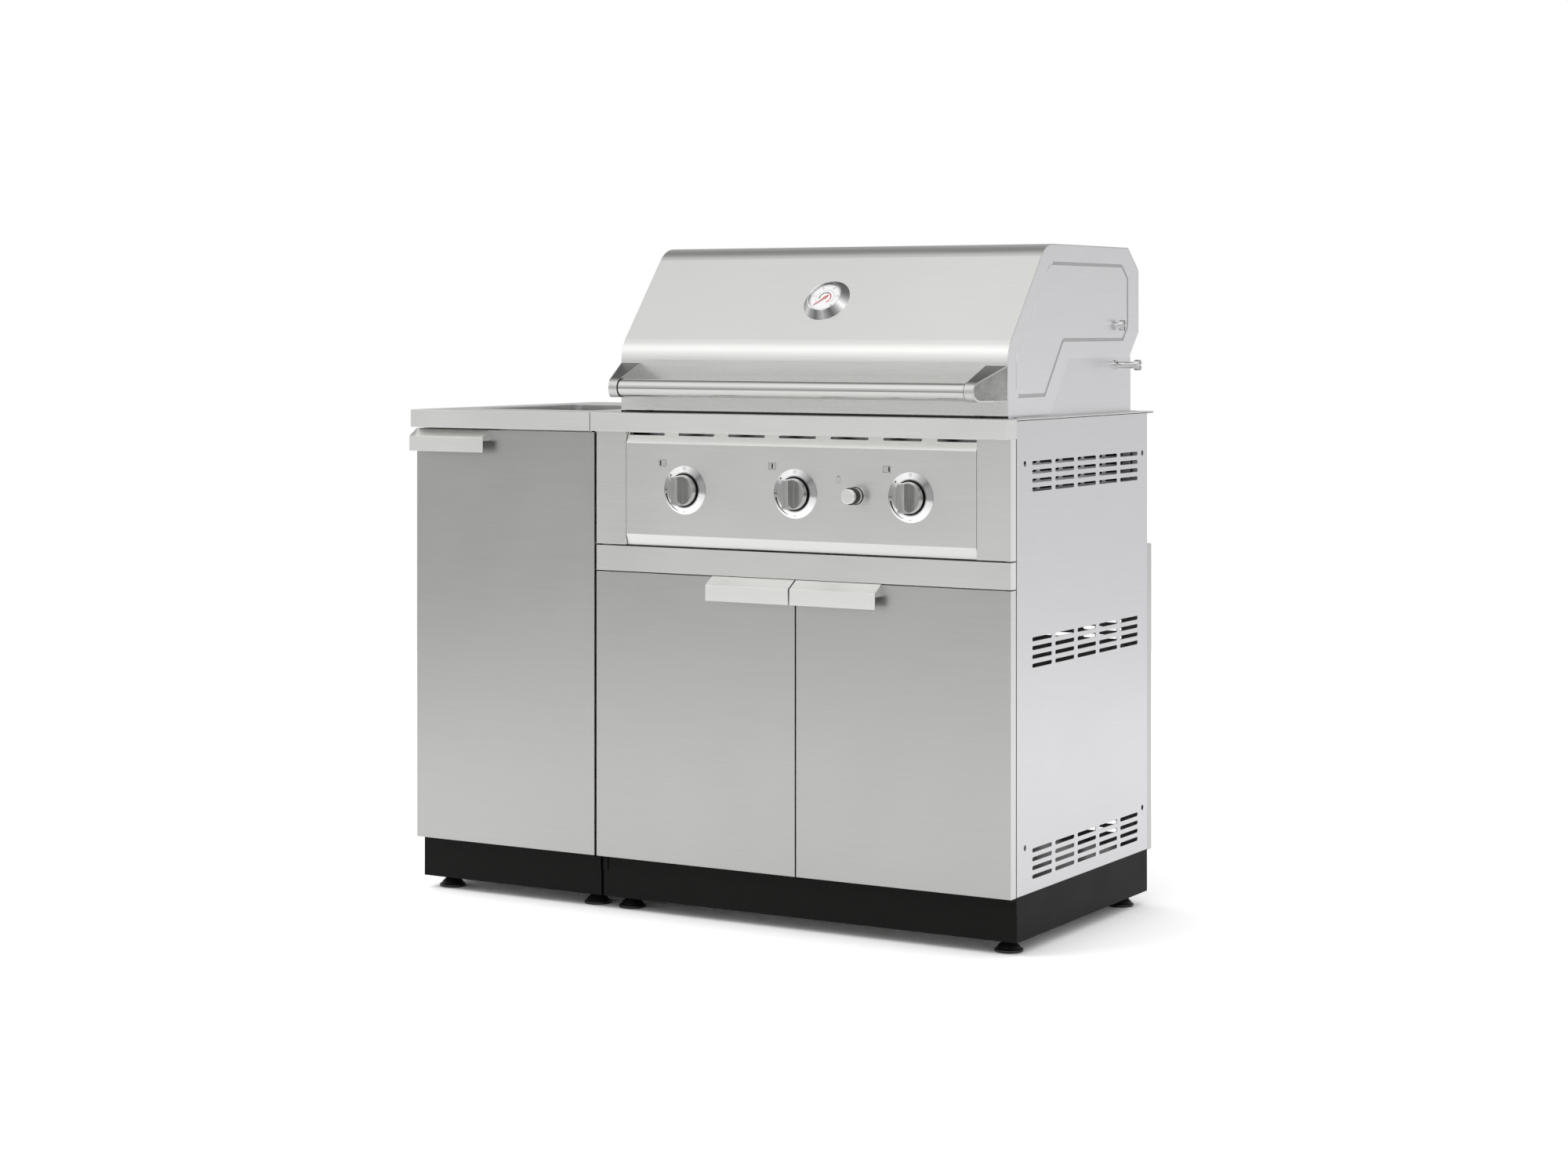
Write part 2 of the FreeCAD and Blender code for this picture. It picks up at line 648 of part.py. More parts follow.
def side_panel(x_outer, inward, slot_levels, hole_inset):
    """Upright side with a flange at its front and back, four joining holes and groups of vent slots."""
    x_inner = x_outer + inward * SHEET
    x_flange = x_outer + inward * FLANGE
    web = sorted((x_outer, x_inner))
    flange = sorted((x_outer, x_flange))
    panel = join([
        box(web[0], web[1], CARCASS_FRONT, CARCASS_BACK, FLOOR_LEVEL, COUNTER_UNDER),
        box(flange[0], flange[1], CARCASS_FRONT, CARCASS_FRONT + SHEET, FLOOR_LEVEL, COUNTER_UNDER),
        box(flange[0], flange[1], CARCASS_BACK - SHEET, CARCASS_BACK, FLOOR_LEVEL, COUNTER_UNDER),
    ])
    cuts = [rod((web[0], y, z), (web[1], y, z), JOIN_HOLE_RADIUS) for y, z in join_places(hole_inset)]
    for level in slot_levels:
        cuts += slot_group((web[0] + web[1]) / 2, level)
    return panel.cut(cuts)


def cabinet_floors():
    """The bottom sheet of each cabinet."""
    return group([box(x0 + SHEET, x1 - SHEET, CARCASS_FRONT + SHEET, CARCASS_BACK - SHEET,
                      FLOOR_LEVEL, FLOOR_LEVEL + SHEET)
                  for x0, x1 in ((LEFT_X0, LEFT_X1), (RIGHT_X0, 0))])


def back_pan(x0, x1, z0, z1):
    """Tray-shaped sheet behind a cabinet, open to the front."""
    hollow = box(x0 + SHEET, x1 - SHEET, CARCASS_BACK, BACK_PAN_BACK - SHEET, z0 + SHEET, z1 - SHEET)
    return box(x0, x1, CARCASS_BACK, BACK_PAN_BACK, z0, z1).cut(hollow)


def right_back_pan():
    """Back of the grill cabinet, slotted level with the slots of the sides."""
    pan = back_pan(RIGHT_X0, 0, FLOOR_LEVEL - BACK_PAN_DROP, BACK_PAN_TOP)
    one = slot_along_x(SLOT_LENGTH, SLOT_HEIGHT)
    one.translate(Vector(0, BACK_PAN_BACK - SHEET / 2, 0))
    span = (BACK_SLOT_COLUMNS - 1) * SLOT_PITCH + SLOT_LENGTH
    first = GRILL_X - span / 2 + SLOT_LENGTH
    cuts = []
    for level in (MIDDLE_SLOT_LEVEL, BOTTOM_SLOT_LEVEL):
        for row in range(SLOT_ROWS):
            for column in range(BACK_SLOT_COLUMNS):
                place = Vector(first + column * SLOT_PITCH, 0, level - row * SLOT_ROW_PITCH)
                cuts.append(one.translated(place))
    return pan.cut(cuts)


def cross_rails():
    """Rail behind the left counter's nose, and rail inside the top of the grill cabinet's back."""
    x0 = LEFT_X0 + SHEET
    x1 = LEFT_X1 - SHEET
    y0 = CARCASS_FRONT + SHEET
    front = join([
        box(x0, x1, y0, y0 + SHEET, COUNTER_UNDER - FRONT_RAIL_HEIGHT, COUNTER_UNDER),
        box(x0, x1, y0, y0 + FLANGE, COUNTER_UNDER - SHEET, COUNTER_UNDER),
    ])
    lip_inset = FLANGE + TOP_RAIL_END_GAP
    y1 = CARCASS_BACK - SHEET
    back = join([
        box(RIGHT_X0 + SHEET, -SHEET, y1 - SHEET, y1, TOP_RAIL_BOTTOM, COUNTER_UNDER),
        box(RIGHT_X0 + lip_inset, -lip_inset, y1 - SHEET, y1 + TOP_RAIL_LIP,
            TOP_RAIL_BOTTOM, TOP_RAIL_BOTTOM + SHEET),
    ])
    return group([front, back])


def left_shelf():
    """Shelf of the left cabinet, with its front and back edges turned down."""
    x0 = LEFT_X0 + SHEET
    x1 = LEFT_X1 - SHEET
    y0 = CARCASS_FRONT + SHELF_FRONT_GAP
    y1 = CARCASS_BACK - SHEET
    under = SHELF_LEVEL - SHELF_LIP
    return join([
        box(x0, x1, y0, y1, SHELF_LEVEL - SHEET, SHELF_LEVEL),
        box(x0, x1, y0, y0 + SHEET, under, SHELF_LEVEL),
        box(x0, x1, y1 - SHEET, y1, under, SHELF_LEVEL),
    ])


def joining_bolts():
    """Bolts with spacers that hold the two cabinets together."""
    radius = JOIN_HOLE_RADIUS - JOIN_BOLT_CLEARANCE
    inside_left = LEFT_X1 - SHEET
    inside_right = RIGHT_X0 + SHEET
    bolts = []
    for y, z in join_places(JOIN_BOLT_INSET):
        bolts.append(join([
            rod((inside_left, y, z), (inside_right, y, z), radius),
            rod((LEFT_X1, y, z), (RIGHT_X0, y, z), JOIN_WASHER_RADIUS),
            rod((inside_left - JOIN_HEAD_HEIGHT, y, z), (inside_left, y, z), JOIN_WASHER_RADIUS),
            rod((inside_right, y, z), (inside_right + JOIN_HEAD_HEIGHT, y, z), JOIN_WASHER_RADIUS),
        ]))
    return group(bolts)


# Counters and basin
def counter(x0, x1, opening, pin_x):
    """Counter plate with a folded nose at its front and an opening cut through it."""
    wall = COUNTER_SHEET
    parts = [
        box(x0, x1, NOSE_FRONT, COUNTER_BACK, COUNTER_UNDER, COUNTER_TOP),
        box(x0, x1, NOSE_FRONT, NOSE_FRONT + wall, NOSE_BOTTOM, COUNTER_TOP),
        box(x0, x1, NOSE_FRONT, CARCASS_FRONT, NOSE_BOTTOM, NOSE_BOTTOM + wall),
        box(x0, x0 + wall, NOSE_FRONT, CARCASS_FRONT, NOSE_BOTTOM, COUNTER_TOP),
        box(x1 - wall, x1, NOSE_FRONT, CARCASS_FRONT, NOSE_BOTTOM, COUNTER_TOP),
    ]
    cuts = [opening]
    for x in pin_x:
        cuts.append(rod((x, PIN_INSET, NOSE_BOTTOM), (x, PIN_INSET, NOSE_BOTTOM + wall), PIN_RADIUS))
    return join(parts).cut(cuts)


def basin_hollow(grow, z0, z1):
    """The basin's inner space, grown outwards on its four sides."""
    half = BASIN_WIDTH / 2 + grow
    return round_box(LEFT_MID_X - half, LEFT_MID_X + half, BASIN_FRONT - grow,
                     BASIN_FRONT + BASIN_LENGTH + grow, z0, z1, BASIN_CORNER + grow)


def left_counter():
    """Counter over the basin, which also carries the left door's top pin."""
    return counter(LEFT_X0 - COUNTER_OVERHANG, SEAM_X - COUNTER_GAP / 2,
                   basin_hollow(0, COUNTER_UNDER, COUNTER_TOP), [LEFT_X1 - PIN_INSET])


def right_counter():
    """Counter round the grill: a front strip, two narrow sides and a back strip."""
    half = CHASSIS_X1 - GRILL_X + CUTOUT_CLEARANCE
    opening = box(GRILL_X - half, GRILL_X + half, CHASSIS_FRONT - CUTOUT_FRONT_GAP,
                  CHASSIS_BACK + CUTOUT_CLEARANCE, COUNTER_UNDER, COUNTER_TOP)
    return counter(SEAM_X + COUNTER_GAP / 2, COUNTER_OVERHANG, opening, [])


def basin():
    """Sink bowl whose flange lies under the counter."""
    floor = COUNTER_TOP - BASIN_DEPTH
    y = BASIN_FRONT + BASIN_LENGTH / 2
    shell = join([
        basin_hollow(BASIN_SHEET, floor - BASIN_SHEET, COUNTER_UNDER),
        basin_hollow(BASIN_FLANGE, COUNTER_UNDER - BASIN_SHEET, COUNTER_UNDER),
    ])
    return shell.cut([
        basin_hollow(0, floor, COUNTER_UNDER),
        rod((LEFT_MID_X, y, floor - BASIN_SHEET), (LEFT_MID_X, y, floor), DRAIN_RADIUS),
    ])


def basin_drain():
    """Strainer cup in the basin's floor, with its tail pipe."""
    x = LEFT_MID_X
    y = BASIN_FRONT + BASIN_LENGTH / 2
    floor = COUNTER_TOP - BASIN_DEPTH
    top = floor + BASIN_SHEET
    cup_bottom = floor - DRAIN_CUP_DEPTH
    cup_radius = DRAIN_RADIUS - DRAIN_CLEARANCE
    bore = TAIL_RADIUS - BASIN_SHEET
    outside = join([
        rod((x, y, floor), (x, y, top), DRAIN_RADIUS + DRAIN_FLANGE),
        rod((x, y, cup_bottom), (x, y, floor), cup_radius),
        rod((x, y, cup_bottom - TAIL_LENGTH), (x, y, cup_bottom), TAIL_RADIUS),
    ])
    return outside.cut([
        rod((x, y, cup_bottom + BASIN_SHEET), (x, y, top), cup_radius - BASIN_SHEET),
        rod((x, y, cup_bottom - TAIL_LENGTH), (x, y, cup_bottom + BASIN_SHEET), bore),
    ])


# Doors: the left edge, right edge and top of each, the middle of its hinge pins and its handle's left end
DOOR_MEET_X0 = GRILL_X - DOOR_MEETING_GAP / 2
DOOR_MEET_X1 = GRILL_X + DOOR_MEETING_GAP / 2
LEFT_DOOR = (LEFT_X0, LEFT_X1, LEFT_DOOR_TOP, LEFT_X1 - PIN_INSET, LEFT_X0)
MIDDLE_DOOR = (RIGHT_X0, DOOR_MEET_X0, RIGHT_DOOR_TOP, RIGHT_X0 + PIN_INSET, DOOR_MEET_X0 - HANDLE_LENGTH)
RIGHT_DOOR = (DOOR_MEET_X1, 0, RIGHT_DOOR_TOP, -PIN_INSET, DOOR_MEET_X1)


def door_shell(x0, x1, top, pin_x):
    """Outer skin of a door: a front with four edges folded back, bored for its hinge pins."""
    wall = DOOR_SHEET
    shell = box(x0, x1, 0, DOOR_THICKNESS, DOOR_BOTTOM, top).cut(
        box(x0 + wall, x1 - wall, wall, DOOR_THICKNESS, DOOR_BOTTOM + wall, top - wall))
    bore = rod((pin_x, PIN_INSET, DOOR_BOTTOM), (pin_x, PIN_INSET, top), PIN_RADIUS + RUNNING_FIT)
    return shell.cut(bore)


def door_liner(x0, x1, top):
    """Inner sheet that closes the back of a door."""
    wall = DOOR_SHEET
    return box(x0 + wall, x1 - wall, DOOR_THICKNESS - wall, DOOR_THICKNESS, DOOR_BOTTOM + wall, top - wall)


def door_handle(top, handle_x):
    """Folded pull: a flange on the door's top, a slope with closed ends and a grip that hangs down."""
    reach = HANDLE_REACH - HANDLE_SHEET
    end_x = handle_x + HANDLE_LENGTH
    path = [
        (HANDLE_FLANGE, top),
        (0, top),
        (-reach, top - HANDLE_SLOPE_DROP),
        (-reach, top - HANDLE_SLOPE_DROP - HANDLE_GRIP_HEIGHT),
    ]
    gusset = path[1:3] + [(-reach, top - HANDLE_GUSSET_HEIGHT), (0, top - HANDLE_GUSSET_HEIGHT)]
    return join([
        band(path, HANDLE_SHEET, handle_x, end_x),
        slab(gusset, handle_x, handle_x + HANDLE_SHEET),
        slab(gusset, end_x - HANDLE_SHEET, end_x),
    ])


def top_pin(x, door_top, seat, seat_thickness):
    """Pin that drops from the piece above a door into the door's top edge."""
    y = PIN_INSET
    head = seat + seat_thickness
    return join([
        rod((x, y, door_top - PIN_REACH), (x, y, head), PIN_RADIUS),
        rod((x, y, head), (x, y, head + PIN_HEAD_HEIGHT), PIN_HEAD_RADIUS),
    ])


def bottom_pin(x):
    """Bracket on the plinth with the pin that carries a door."""
    y = PIN_INSET
    plate_top = DOOR_BOTTOM - BRACKET_TOP_GAP
    half = BRACKET_WIDTH / 2
    back = PLINTH_FRONT
    return join([
        box(x - half, x + half, y - half, back, plate_top - BRACKET_SHEET, plate_top),
        box(x - half, x + half, back - BRACKET_SHEET, back, plate_top - BRACKET_DROP, plate_top),
        rod((x, y, plate_top), (x, y, DOOR_BOTTOM - PIN_COLLAR_GAP), PIN_COLLAR_RADIUS),
        rod((x, y, plate_top), (x, y, DOOR_BOTTOM + PIN_REACH), PIN_RADIUS),
    ])


def door_hinge_pins():
    """The top and bottom pins of the three doors."""
    pins = [top_pin(LEFT_DOOR[3], LEFT_DOOR_TOP, NOSE_BOTTOM, COUNTER_SHEET)]
    pins += [top_pin(door[3], RIGHT_DOOR_TOP, RAIL_BOTTOM, SHEET) for door in (MIDDLE_DOOR, RIGHT_DOOR)]
    pins += [bottom_pin(door[3]) for door in (LEFT_DOOR, MIDDLE_DOOR, RIGHT_DOOR)]
    return group(pins)


# Front of the grill cabinet
def front_box(x0, x1, z0, z1):
    """Sheet folded into a hollow block in front of the cabinet, open to the back."""
    hollow = box(x0 + SHEET, x1 - SHEET, SHEET, CARCASS_FRONT, z0 + SHEET, z1 - SHEET)
    return box(x0, x1, 0, CARCASS_FRONT, z0, z1).cut(hollow)


def front_seam(z0, z1):
    """The narrow seam between a front piece's right edge and the side panel behind it."""
    return box(-SHEET, 0, CARCASS_FRONT - FRONT_SEAM, CARCASS_FRONT, z0, z1)


def front_rail():
    """Hollow rail between the doors and the control panel, open to the back."""
    cuts = [rod((door[3], PIN_INSET, RAIL_BOTTOM), (door[3], PIN_INSET, RAIL_BOTTOM + SHEET), PIN_RADIUS)
            for door in (MIDDLE_DOOR, RIGHT_DOOR)]
    cuts.append(front_seam(RAIL_BOTTOM, RAIL_TOP))
    return front_box(RIGHT_X0, 0, RAIL_BOTTOM, RAIL_TOP).cut(cuts)


def front_stiles():
    """Hollow uprights on both sides of the control panel, open to the back."""
    left = front_box(RIGHT_X0, RIGHT_X0 + STILE_WIDTH, PANEL_BOTTOM, NOSE_BOTTOM)
    right = front_box(-STILE_WIDTH, 0, PANEL_BOTTOM, NOSE_BOTTOM)
    return group([left, right.cut(front_seam(PANEL_BOTTOM, NOSE_BOTTOM))])


def control_panel():
    """Bent sheet that carries the knobs, closed at its ends, with slots along its upper bevel."""
    path = [
        (CARCASS_FRONT, PANEL_BOTTOM),
        (PANEL_LOWER_SETBACK, PANEL_BOTTOM),
        (0, PANEL_LOWER_BEND),
        (0, PANEL_UPPER_BEND),
        (PANEL_UPPER_SETBACK, NOSE_BOTTOM),
        (CARCASS_FRONT, NOSE_BOTTOM),
    ]
    parts = [
        band(path, SHEET, PANEL_X0, PANEL_X1),
        slab(path, PANEL_X0, PANEL_X0 + SHEET),
        slab(path, PANEL_X1 - SHEET, PANEL_X1),
    ]
    one = slot_along_x(PANEL_SLOT_LENGTH, PANEL_SLOT_HEIGHT)
    one.translate(Vector(0, PANEL_UPPER_SETBACK, NOSE_BOTTOM - PANEL_SLOT_DROP))
    span = (PANEL_SLOTS - 1) * PANEL_SLOT_PITCH + PANEL_SLOT_LENGTH
    first = GRILL_X - span / 2 + PANEL_SLOT_LENGTH
    cuts = [one.translated(Vector(first + step * PANEL_SLOT_PITCH, 0, 0)) for step in range(PANEL_SLOTS)]
    for x in KNOB_X:
        cuts.append(rod((x, 0, KNOB_LEVEL), (x, SHEET, KNOB_LEVEL), SHAFT_HOLE_RADIUS))
    cuts.append(rod((IGNITER_X, 0, KNOB_LEVEL), (IGNITER_X, SHEET, KNOB_LEVEL), IGNITER_BARREL_RADIUS))
    return join(parts).cut(cuts)


def knob_bezels():
    """Rings round the knobs: a flat floor and a conical rim."""
    bezels = []
    for x in KNOB_X:
        rim = join([
            rod((x, 0, KNOB_LEVEL), (x, -BEZEL_EDGE, KNOB_LEVEL), BEZEL_RADIUS),
            rod((x, -BEZEL_EDGE, KNOB_LEVEL), (x, -BEZEL_HEIGHT, KNOB_LEVEL), BEZEL_RADIUS,
                WELL_RADIUS + BEZEL_LAND),
        ])
        bezels.append(rim.cut([
            rod((x, -BEZEL_FLOOR, KNOB_LEVEL), (x, -BEZEL_HEIGHT, KNOB_LEVEL), WELL_RADIUS),
            rod((x, 0, KNOB_LEVEL), (x, -BEZEL_FLOOR, KNOB_LEVEL), SHAFT_HOLE_RADIUS),
        ]))
    return group(bezels)


def knob(x):
    """Round knob with an upright grip, on the stem that turns inside the valve plunger."""
    z = KNOB_LEVEL
    skirt_end = KNOB_BACK - KNOB_SKIRT
    stem_end = PLUNGER_FRONT + PLUNGER_LENGTH - PLUNGER_FLOOR - RUNNING_FIT
    disc = join([
        rod((x, KNOB_BACK, z), (x, skirt_end, z), KNOB_RADIUS),
        rod((x, skirt_end, z), (x, KNOB_FACE, z), KNOB_RADIUS, KNOB_RADIUS - KNOB_SKIRT_SLOPE),
    ])
    half = BLADE_WIDTH / 2
    blade = box(x - half, x + half, KNOB_FRONT, KNOB_FACE, z - KNOB_RADIUS, z + KNOB_RADIUS)
    long_edges = [edge for edge in blade.Edges if edge.CenterOfMass.y < KNOB_FRONT + EDGE_REACH]
    blade = blade.makeFillet(BLADE_CORNER, long_edges)
    blade = blade.common(rod((x, KNOB_FRONT, z), (x, KNOB_FACE, z), KNOB_RADIUS - KNOB_SKIRT_SLOPE))
    stem = rod((x, KNOB_BACK, z), (x, stem_end, z), STEM_RADIUS)
    return join([disc, blade, stem])


def igniter_collar():
    """Flange and sleeve in front of the panel, with the igniter's barrel and nut behind it."""
    x = IGNITER_X
    z = KNOB_LEVEL
    front = -IGNITER_FLANGE_HEIGHT
    outside = join([
        rod((x, front, z), (x, 0, z), IGNITER_FLANGE_RADIUS),
        rod((x, front - IGNITER_COLLAR_LENGTH, z), (x, front, z), IGNITER_COLLAR_RADIUS),
        rod((x, 0, z), (x, IGNITER_BARREL_LENGTH, z), IGNITER_BARREL_RADIUS),
        rod((x, SHEET, z), (x, SHEET + IGNITER_NUT_HEIGHT, z), IGNITER_NUT_RADIUS),
    ])
    return outside.cut([
        rod((x, front - IGNITER_COLLAR_LENGTH, z), (x, front, z), BUTTON_RADIUS + BUTTON_CLEARANCE),
        rod((x, front, z), (x, BUTTON_BORE_END, z), BUTTON_STEM_RADIUS + RUNNING_FIT),
    ])


def igniter_button():
    """Push cap with the stem that works the igniter."""
    x = IGNITER_X
    z = KNOB_LEVEL
    cap = rod((x, BUTTON_BACK, z), (x, BUTTON_FRONT, z), BUTTON_RADIUS)
    rim = [edge for edge in cap.Edges if abs(edge.CenterOfMass.y - BUTTON_FRONT) < EDGE_REACH]
    cap = cap.makeFillet(BUTTON_EDGE, rim[:1])
    return join([cap, rod((x, BUTTON_BACK, z), (x, BUTTON_STEM_END, z), BUTTON_STEM_RADIUS)])


# Gas line
def manifold():
    """Gas pipe behind the control panel, with a boss under each valve and its inlet at the left."""
    x0 = PANEL_X0 + MANIFOLD_END_GAP
    x1 = PANEL_X1 - MANIFOLD_END_GAP
    y = MANIFOLD_Y
    z = MANIFOLD_Z
    parts = [rod((x0, y, z), (x1, y, z), MANIFOLD_RADIUS)]
    for x in KNOB_X:
        parts.append(rod((x, y, z), (x, y, KNOB_LEVEL - VALVE_SIZE / 2), BOSS_RADIUS))
    inlet_x = x0 + INLET_INSET
    inlet_end = z - INLET_DROP
    parts.append(rod((inlet_x, y, z), (inlet_x, y, inlet_end), INLET_RADIUS))
    parts.append(rod((inlet_x, y, inlet_end), (inlet_x, y, inlet_end + NUT_HEIGHT), INLET_NUT_RADIUS))
    half = BRACE_THICKNESS / 2
    for x in (x0 + BRACE_INSET, x1 - BRACE_INSET):
        parts.append(box(x - MANIFOLD_RADIUS, x + MANIFOLD_RADIUS, y, CHASSIS_FRONT, z - half, z + half))
    return join(parts)


def gas_valve(x):
    """Valve block with a bore for the plunger and a nozzle that points into the burner."""
    half = VALVE_SIZE / 2
    z = KNOB_LEVEL
    block = join([
        box(x - half, x + half, VALVE_FRONT, VALVE_BACK, z - half, z + half),
        rod((x, VALVE_BACK, z), (x, VALVE_BACK + NOZZLE_LENGTH, z), NOZZLE_RADIUS),
    ])
    return block.cut(rod((x, VALVE_FRONT, z), (x, VALVE_FRONT + VALVE_BORE_DEPTH, z),
                         PLUNGER_RADIUS + RUNNING_FIT))


def valve_plunger(x):
    """Sleeve that slides in the valve and in which the knob's stem turns."""
    z = KNOB_LEVEL
    back = PLUNGER_FRONT + PLUNGER_LENGTH
    return rod((x, PLUNGER_FRONT, z), (x, back, z), PLUNGER_RADIUS).cut(
        rod((x, PLUNGER_FRONT, z), (x, back - PLUNGER_FLOOR, z), STEM_RADIUS + RUNNING_FIT))


def burner(x):
    """Burner tube with the narrower mixing tube at its front."""
    z = KNOB_LEVEL
    start = CHASSIS_FRONT + SHEET + VENTURI_GAP
    front = CHASSIS_FRONT + BURNER_SETBACK
    tube = join([
        rod((x, front, z), (x, TUB_BACK - SHEET, z), BURNER_RADIUS),
        rod((x, start, z), (x, front, z), VENTURI_RADIUS),
    ])
    return tube.cut(rod((x, start, z), (x, start + VENTURI_BORE_DEPTH, z), VENTURI_BORE))


# Grill chassis and firebox
def chassis_side():
    """Right side of the chassis, with its hanging flange, its slots and the hinge pin's hole."""
    outline = [
        (CHASSIS_FRONT, CHASSIS_BOTTOM),
        (CHASSIS_FRONT, COUNTER_TOP + CHASSIS_FRONT_RISE),
        (CHASSIS_FRONT + CHASSIS_SLOPE_DEPTH, CHASSIS_TOP),
        (CHASSIS_BACK - CHASSIS_CHAMFER, CHASSIS_TOP),
        (CHASSIS_BACK, CHASSIS_TOP - CHASSIS_CHAMFER),
        (CHASSIS_BACK, CHASSIS_BOTTOM),
    ]
    plate = join([
        slab(outline, CHASSIS_INNER_X, CHASSIS_X1),
        box(CHASSIS_INNER_X, CHASSIS_X1 + CHASSIS_FLANGE, TUB_FRONT, CHASSIS_BACK,
            COUNTER_TOP, COUNTER_TOP + SHEET),
    ])
    pin_hole = rod((CHASSIS_INNER_X, PIVOT_Y, PIVOT_Z), (CHASSIS_X1, PIVOT_Y, PIVOT_Z), PIVOT_PIN_RADIUS)
    middle = (CHASSIS_INNER_X + CHASSIS_X1) / 2
    return plate.cut([pin_hole] + slot_group(middle, TOP_SLOT_LEVEL))


def hood_stop():
    """Block on the chassis that the hood's stop bolt comes to rest over."""
    angle = math.radians(90 - HOOD_OPEN_ANGLE)
    top = PIVOT_Z + STOP_BOLT_RISE * math.sin(angle) - STOP_BOLT_RADIUS - STOP_GAP
    right = ARM_X0 - STOP_WIDTH
    return box(right - STOP_WIDTH, right, CHASSIS_BACK, CHASSIS_BACK + STOP_DEPTH, top - STOP_HEIGHT, top)


def grill_chassis():
    """Outer casing of the grill that hangs in the counter, open at its top and low at its back."""
    half = CHASSIS_X1 - GRILL_X
    x0 = GRILL_X - half
    x1 = GRILL_X + half
    side = chassis_side()
    stop = hood_stop()
    rail = box(TRAY_X1 - TRAY_RAIL_WIDTH, TRAY_X1,
               CHASSIS_FRONT, CHASSIS_BACK, CHASSIS_BOTTOM, CHASSIS_BOTTOM + SHEET + TRAY_RAIL_HEIGHT)
    back_top = COUNTER_TOP + CHASSIS_BACK_RISE
    parts = [
        side, mirrored(side), stop, mirrored(stop), rail, mirrored(rail),
        box(x0, x1, CHASSIS_FRONT, CHASSIS_FRONT + SHEET, CHASSIS_BOTTOM, TUB_TOP),
        box(x0, x1, CHASSIS_BACK - SHEET, CHASSIS_BACK, TUB_BOTTOM, back_top),
        box(x0, x1, CHASSIS_FRONT, CHASSIS_BACK, CHASSIS_BOTTOM, CHASSIS_BOTTOM + SHEET),
    ]
    holes = [rod((x, CHASSIS_FRONT, KNOB_LEVEL), (x, CHASSIS_FRONT + SHEET, KNOB_LEVEL), VENTURI_RADIUS)
             for x in KNOB_X]
    return join(parts).cut(holes)


def firebox():
    """Tub inside the chassis, with a rim that reaches the chassis and ledges for the grates."""
    x0 = 2 * GRILL_X - TUB_X1
    x1 = TUB_X1
    rim_x0 = 2 * GRILL_X - CHASSIS_INNER_X
    parts = [
        box(x0, x1, TUB_FRONT, TUB_BACK, TUB_BOTTOM, TUB_TOP),
        box(rim_x0, CHASSIS_INNER_X, CHASSIS_FRONT + SHEET, CHASSIS_BACK - SHEET, TUB_TOP - SHEET, TUB_TOP),
    ]
    hollow = box(x0 + SHEET, x1 - SHEET, TUB_FRONT + SHEET, TUB_BACK - SHEET, TUB_BOTTOM + SHEET, TUB_TOP)
    half = GREASE_HOLE / 2
    y = (TUB_FRONT + TUB_BACK) / 2
    grease_hole = box(GRILL_X - half, GRILL_X + half, y - half, y + half, TUB_BOTTOM, TUB_BOTTOM + SHEET)
    cuts = [hollow, grease_hole]
    hole_radius = VENTURI_RADIUS + VENTURI_HOLE_CLEARANCE
    for x in KNOB_X:
        cuts.append(rod((x, TUB_FRONT, KNOB_LEVEL), (x, TUB_FRONT + SHEET, KNOB_LEVEL), hole_radius))
    ledges = [box(x0 + SHEET, x1 - SHEET, y, y + LEDGE_WIDTH, LEDGE_LEVEL - SHEET, LEDGE_LEVEL)
              for y in (TUB_FRONT + SHEET, TUB_BACK - SHEET - LEDGE_WIDTH)]
    return join([join(parts).cut(cuts)] + ledges)


def heat_tent(x):
    """Bent sheet over a burner, like a low roof, between the tub's front and back."""
    ridge = TENT_LEVEL + TENT_HEIGHT
    outside = [(x - TENT_HALF_WIDTH, TENT_LEVEL), (x, ridge), (x + TENT_HALF_WIDTH, TENT_LEVEL)]
    profile = face(outside + offset(outside, TENT_SHEET)[::-1], plane=in_xz)
    profile.translate(Vector(0, TUB_FRONT + SHEET, 0))
    return profile.extrude(Vector(0, TUB_BACK - TUB_FRONT - 2 * SHEET, 0))


def cooking_grate(middle):
    """Grate of bars that run from front to back, tied by three cross bars."""
    y0 = TUB_FRONT + SHEET + GRATE_GAP
    y1 = TUB_BACK - SHEET - GRATE_GAP
    x0 = middle - GRATE_WIDTH / 2
    pitch = (GRATE_WIDTH - GRATE_BAR_WIDTH) / (GRATE_BARS - 1)
    top = LEDGE_LEVEL + GRATE_HEIGHT
    cross_top = LEDGE_LEVEL + GRATE_HEIGHT / 2
    bars = []
    for step in range(GRATE_BARS):
        left = x0 + pitch * step
        bars.append(box(left, left + GRATE_BAR_WIDTH, y0, y1, LEDGE_LEVEL, top))
    for y in (y0, (y0 + y1 - GRATE_BAR_WIDTH) / 2, y1 - GRATE_BAR_WIDTH):
        bars.append(box(x0, x0 + GRATE_WIDTH, y, y + GRATE_BAR_WIDTH, LEDGE_LEVEL, cross_top))
    return join(bars)


def cooking_grates():
    """The grates, side by side."""
    places = [GRILL_X + (step - (GRATE_COUNT - 1) / 2) * (GRATE_WIDTH + GRATE_GAP)
              for step in range(GRATE_COUNT)]
    return group([cooking_grate(x) for x in places])


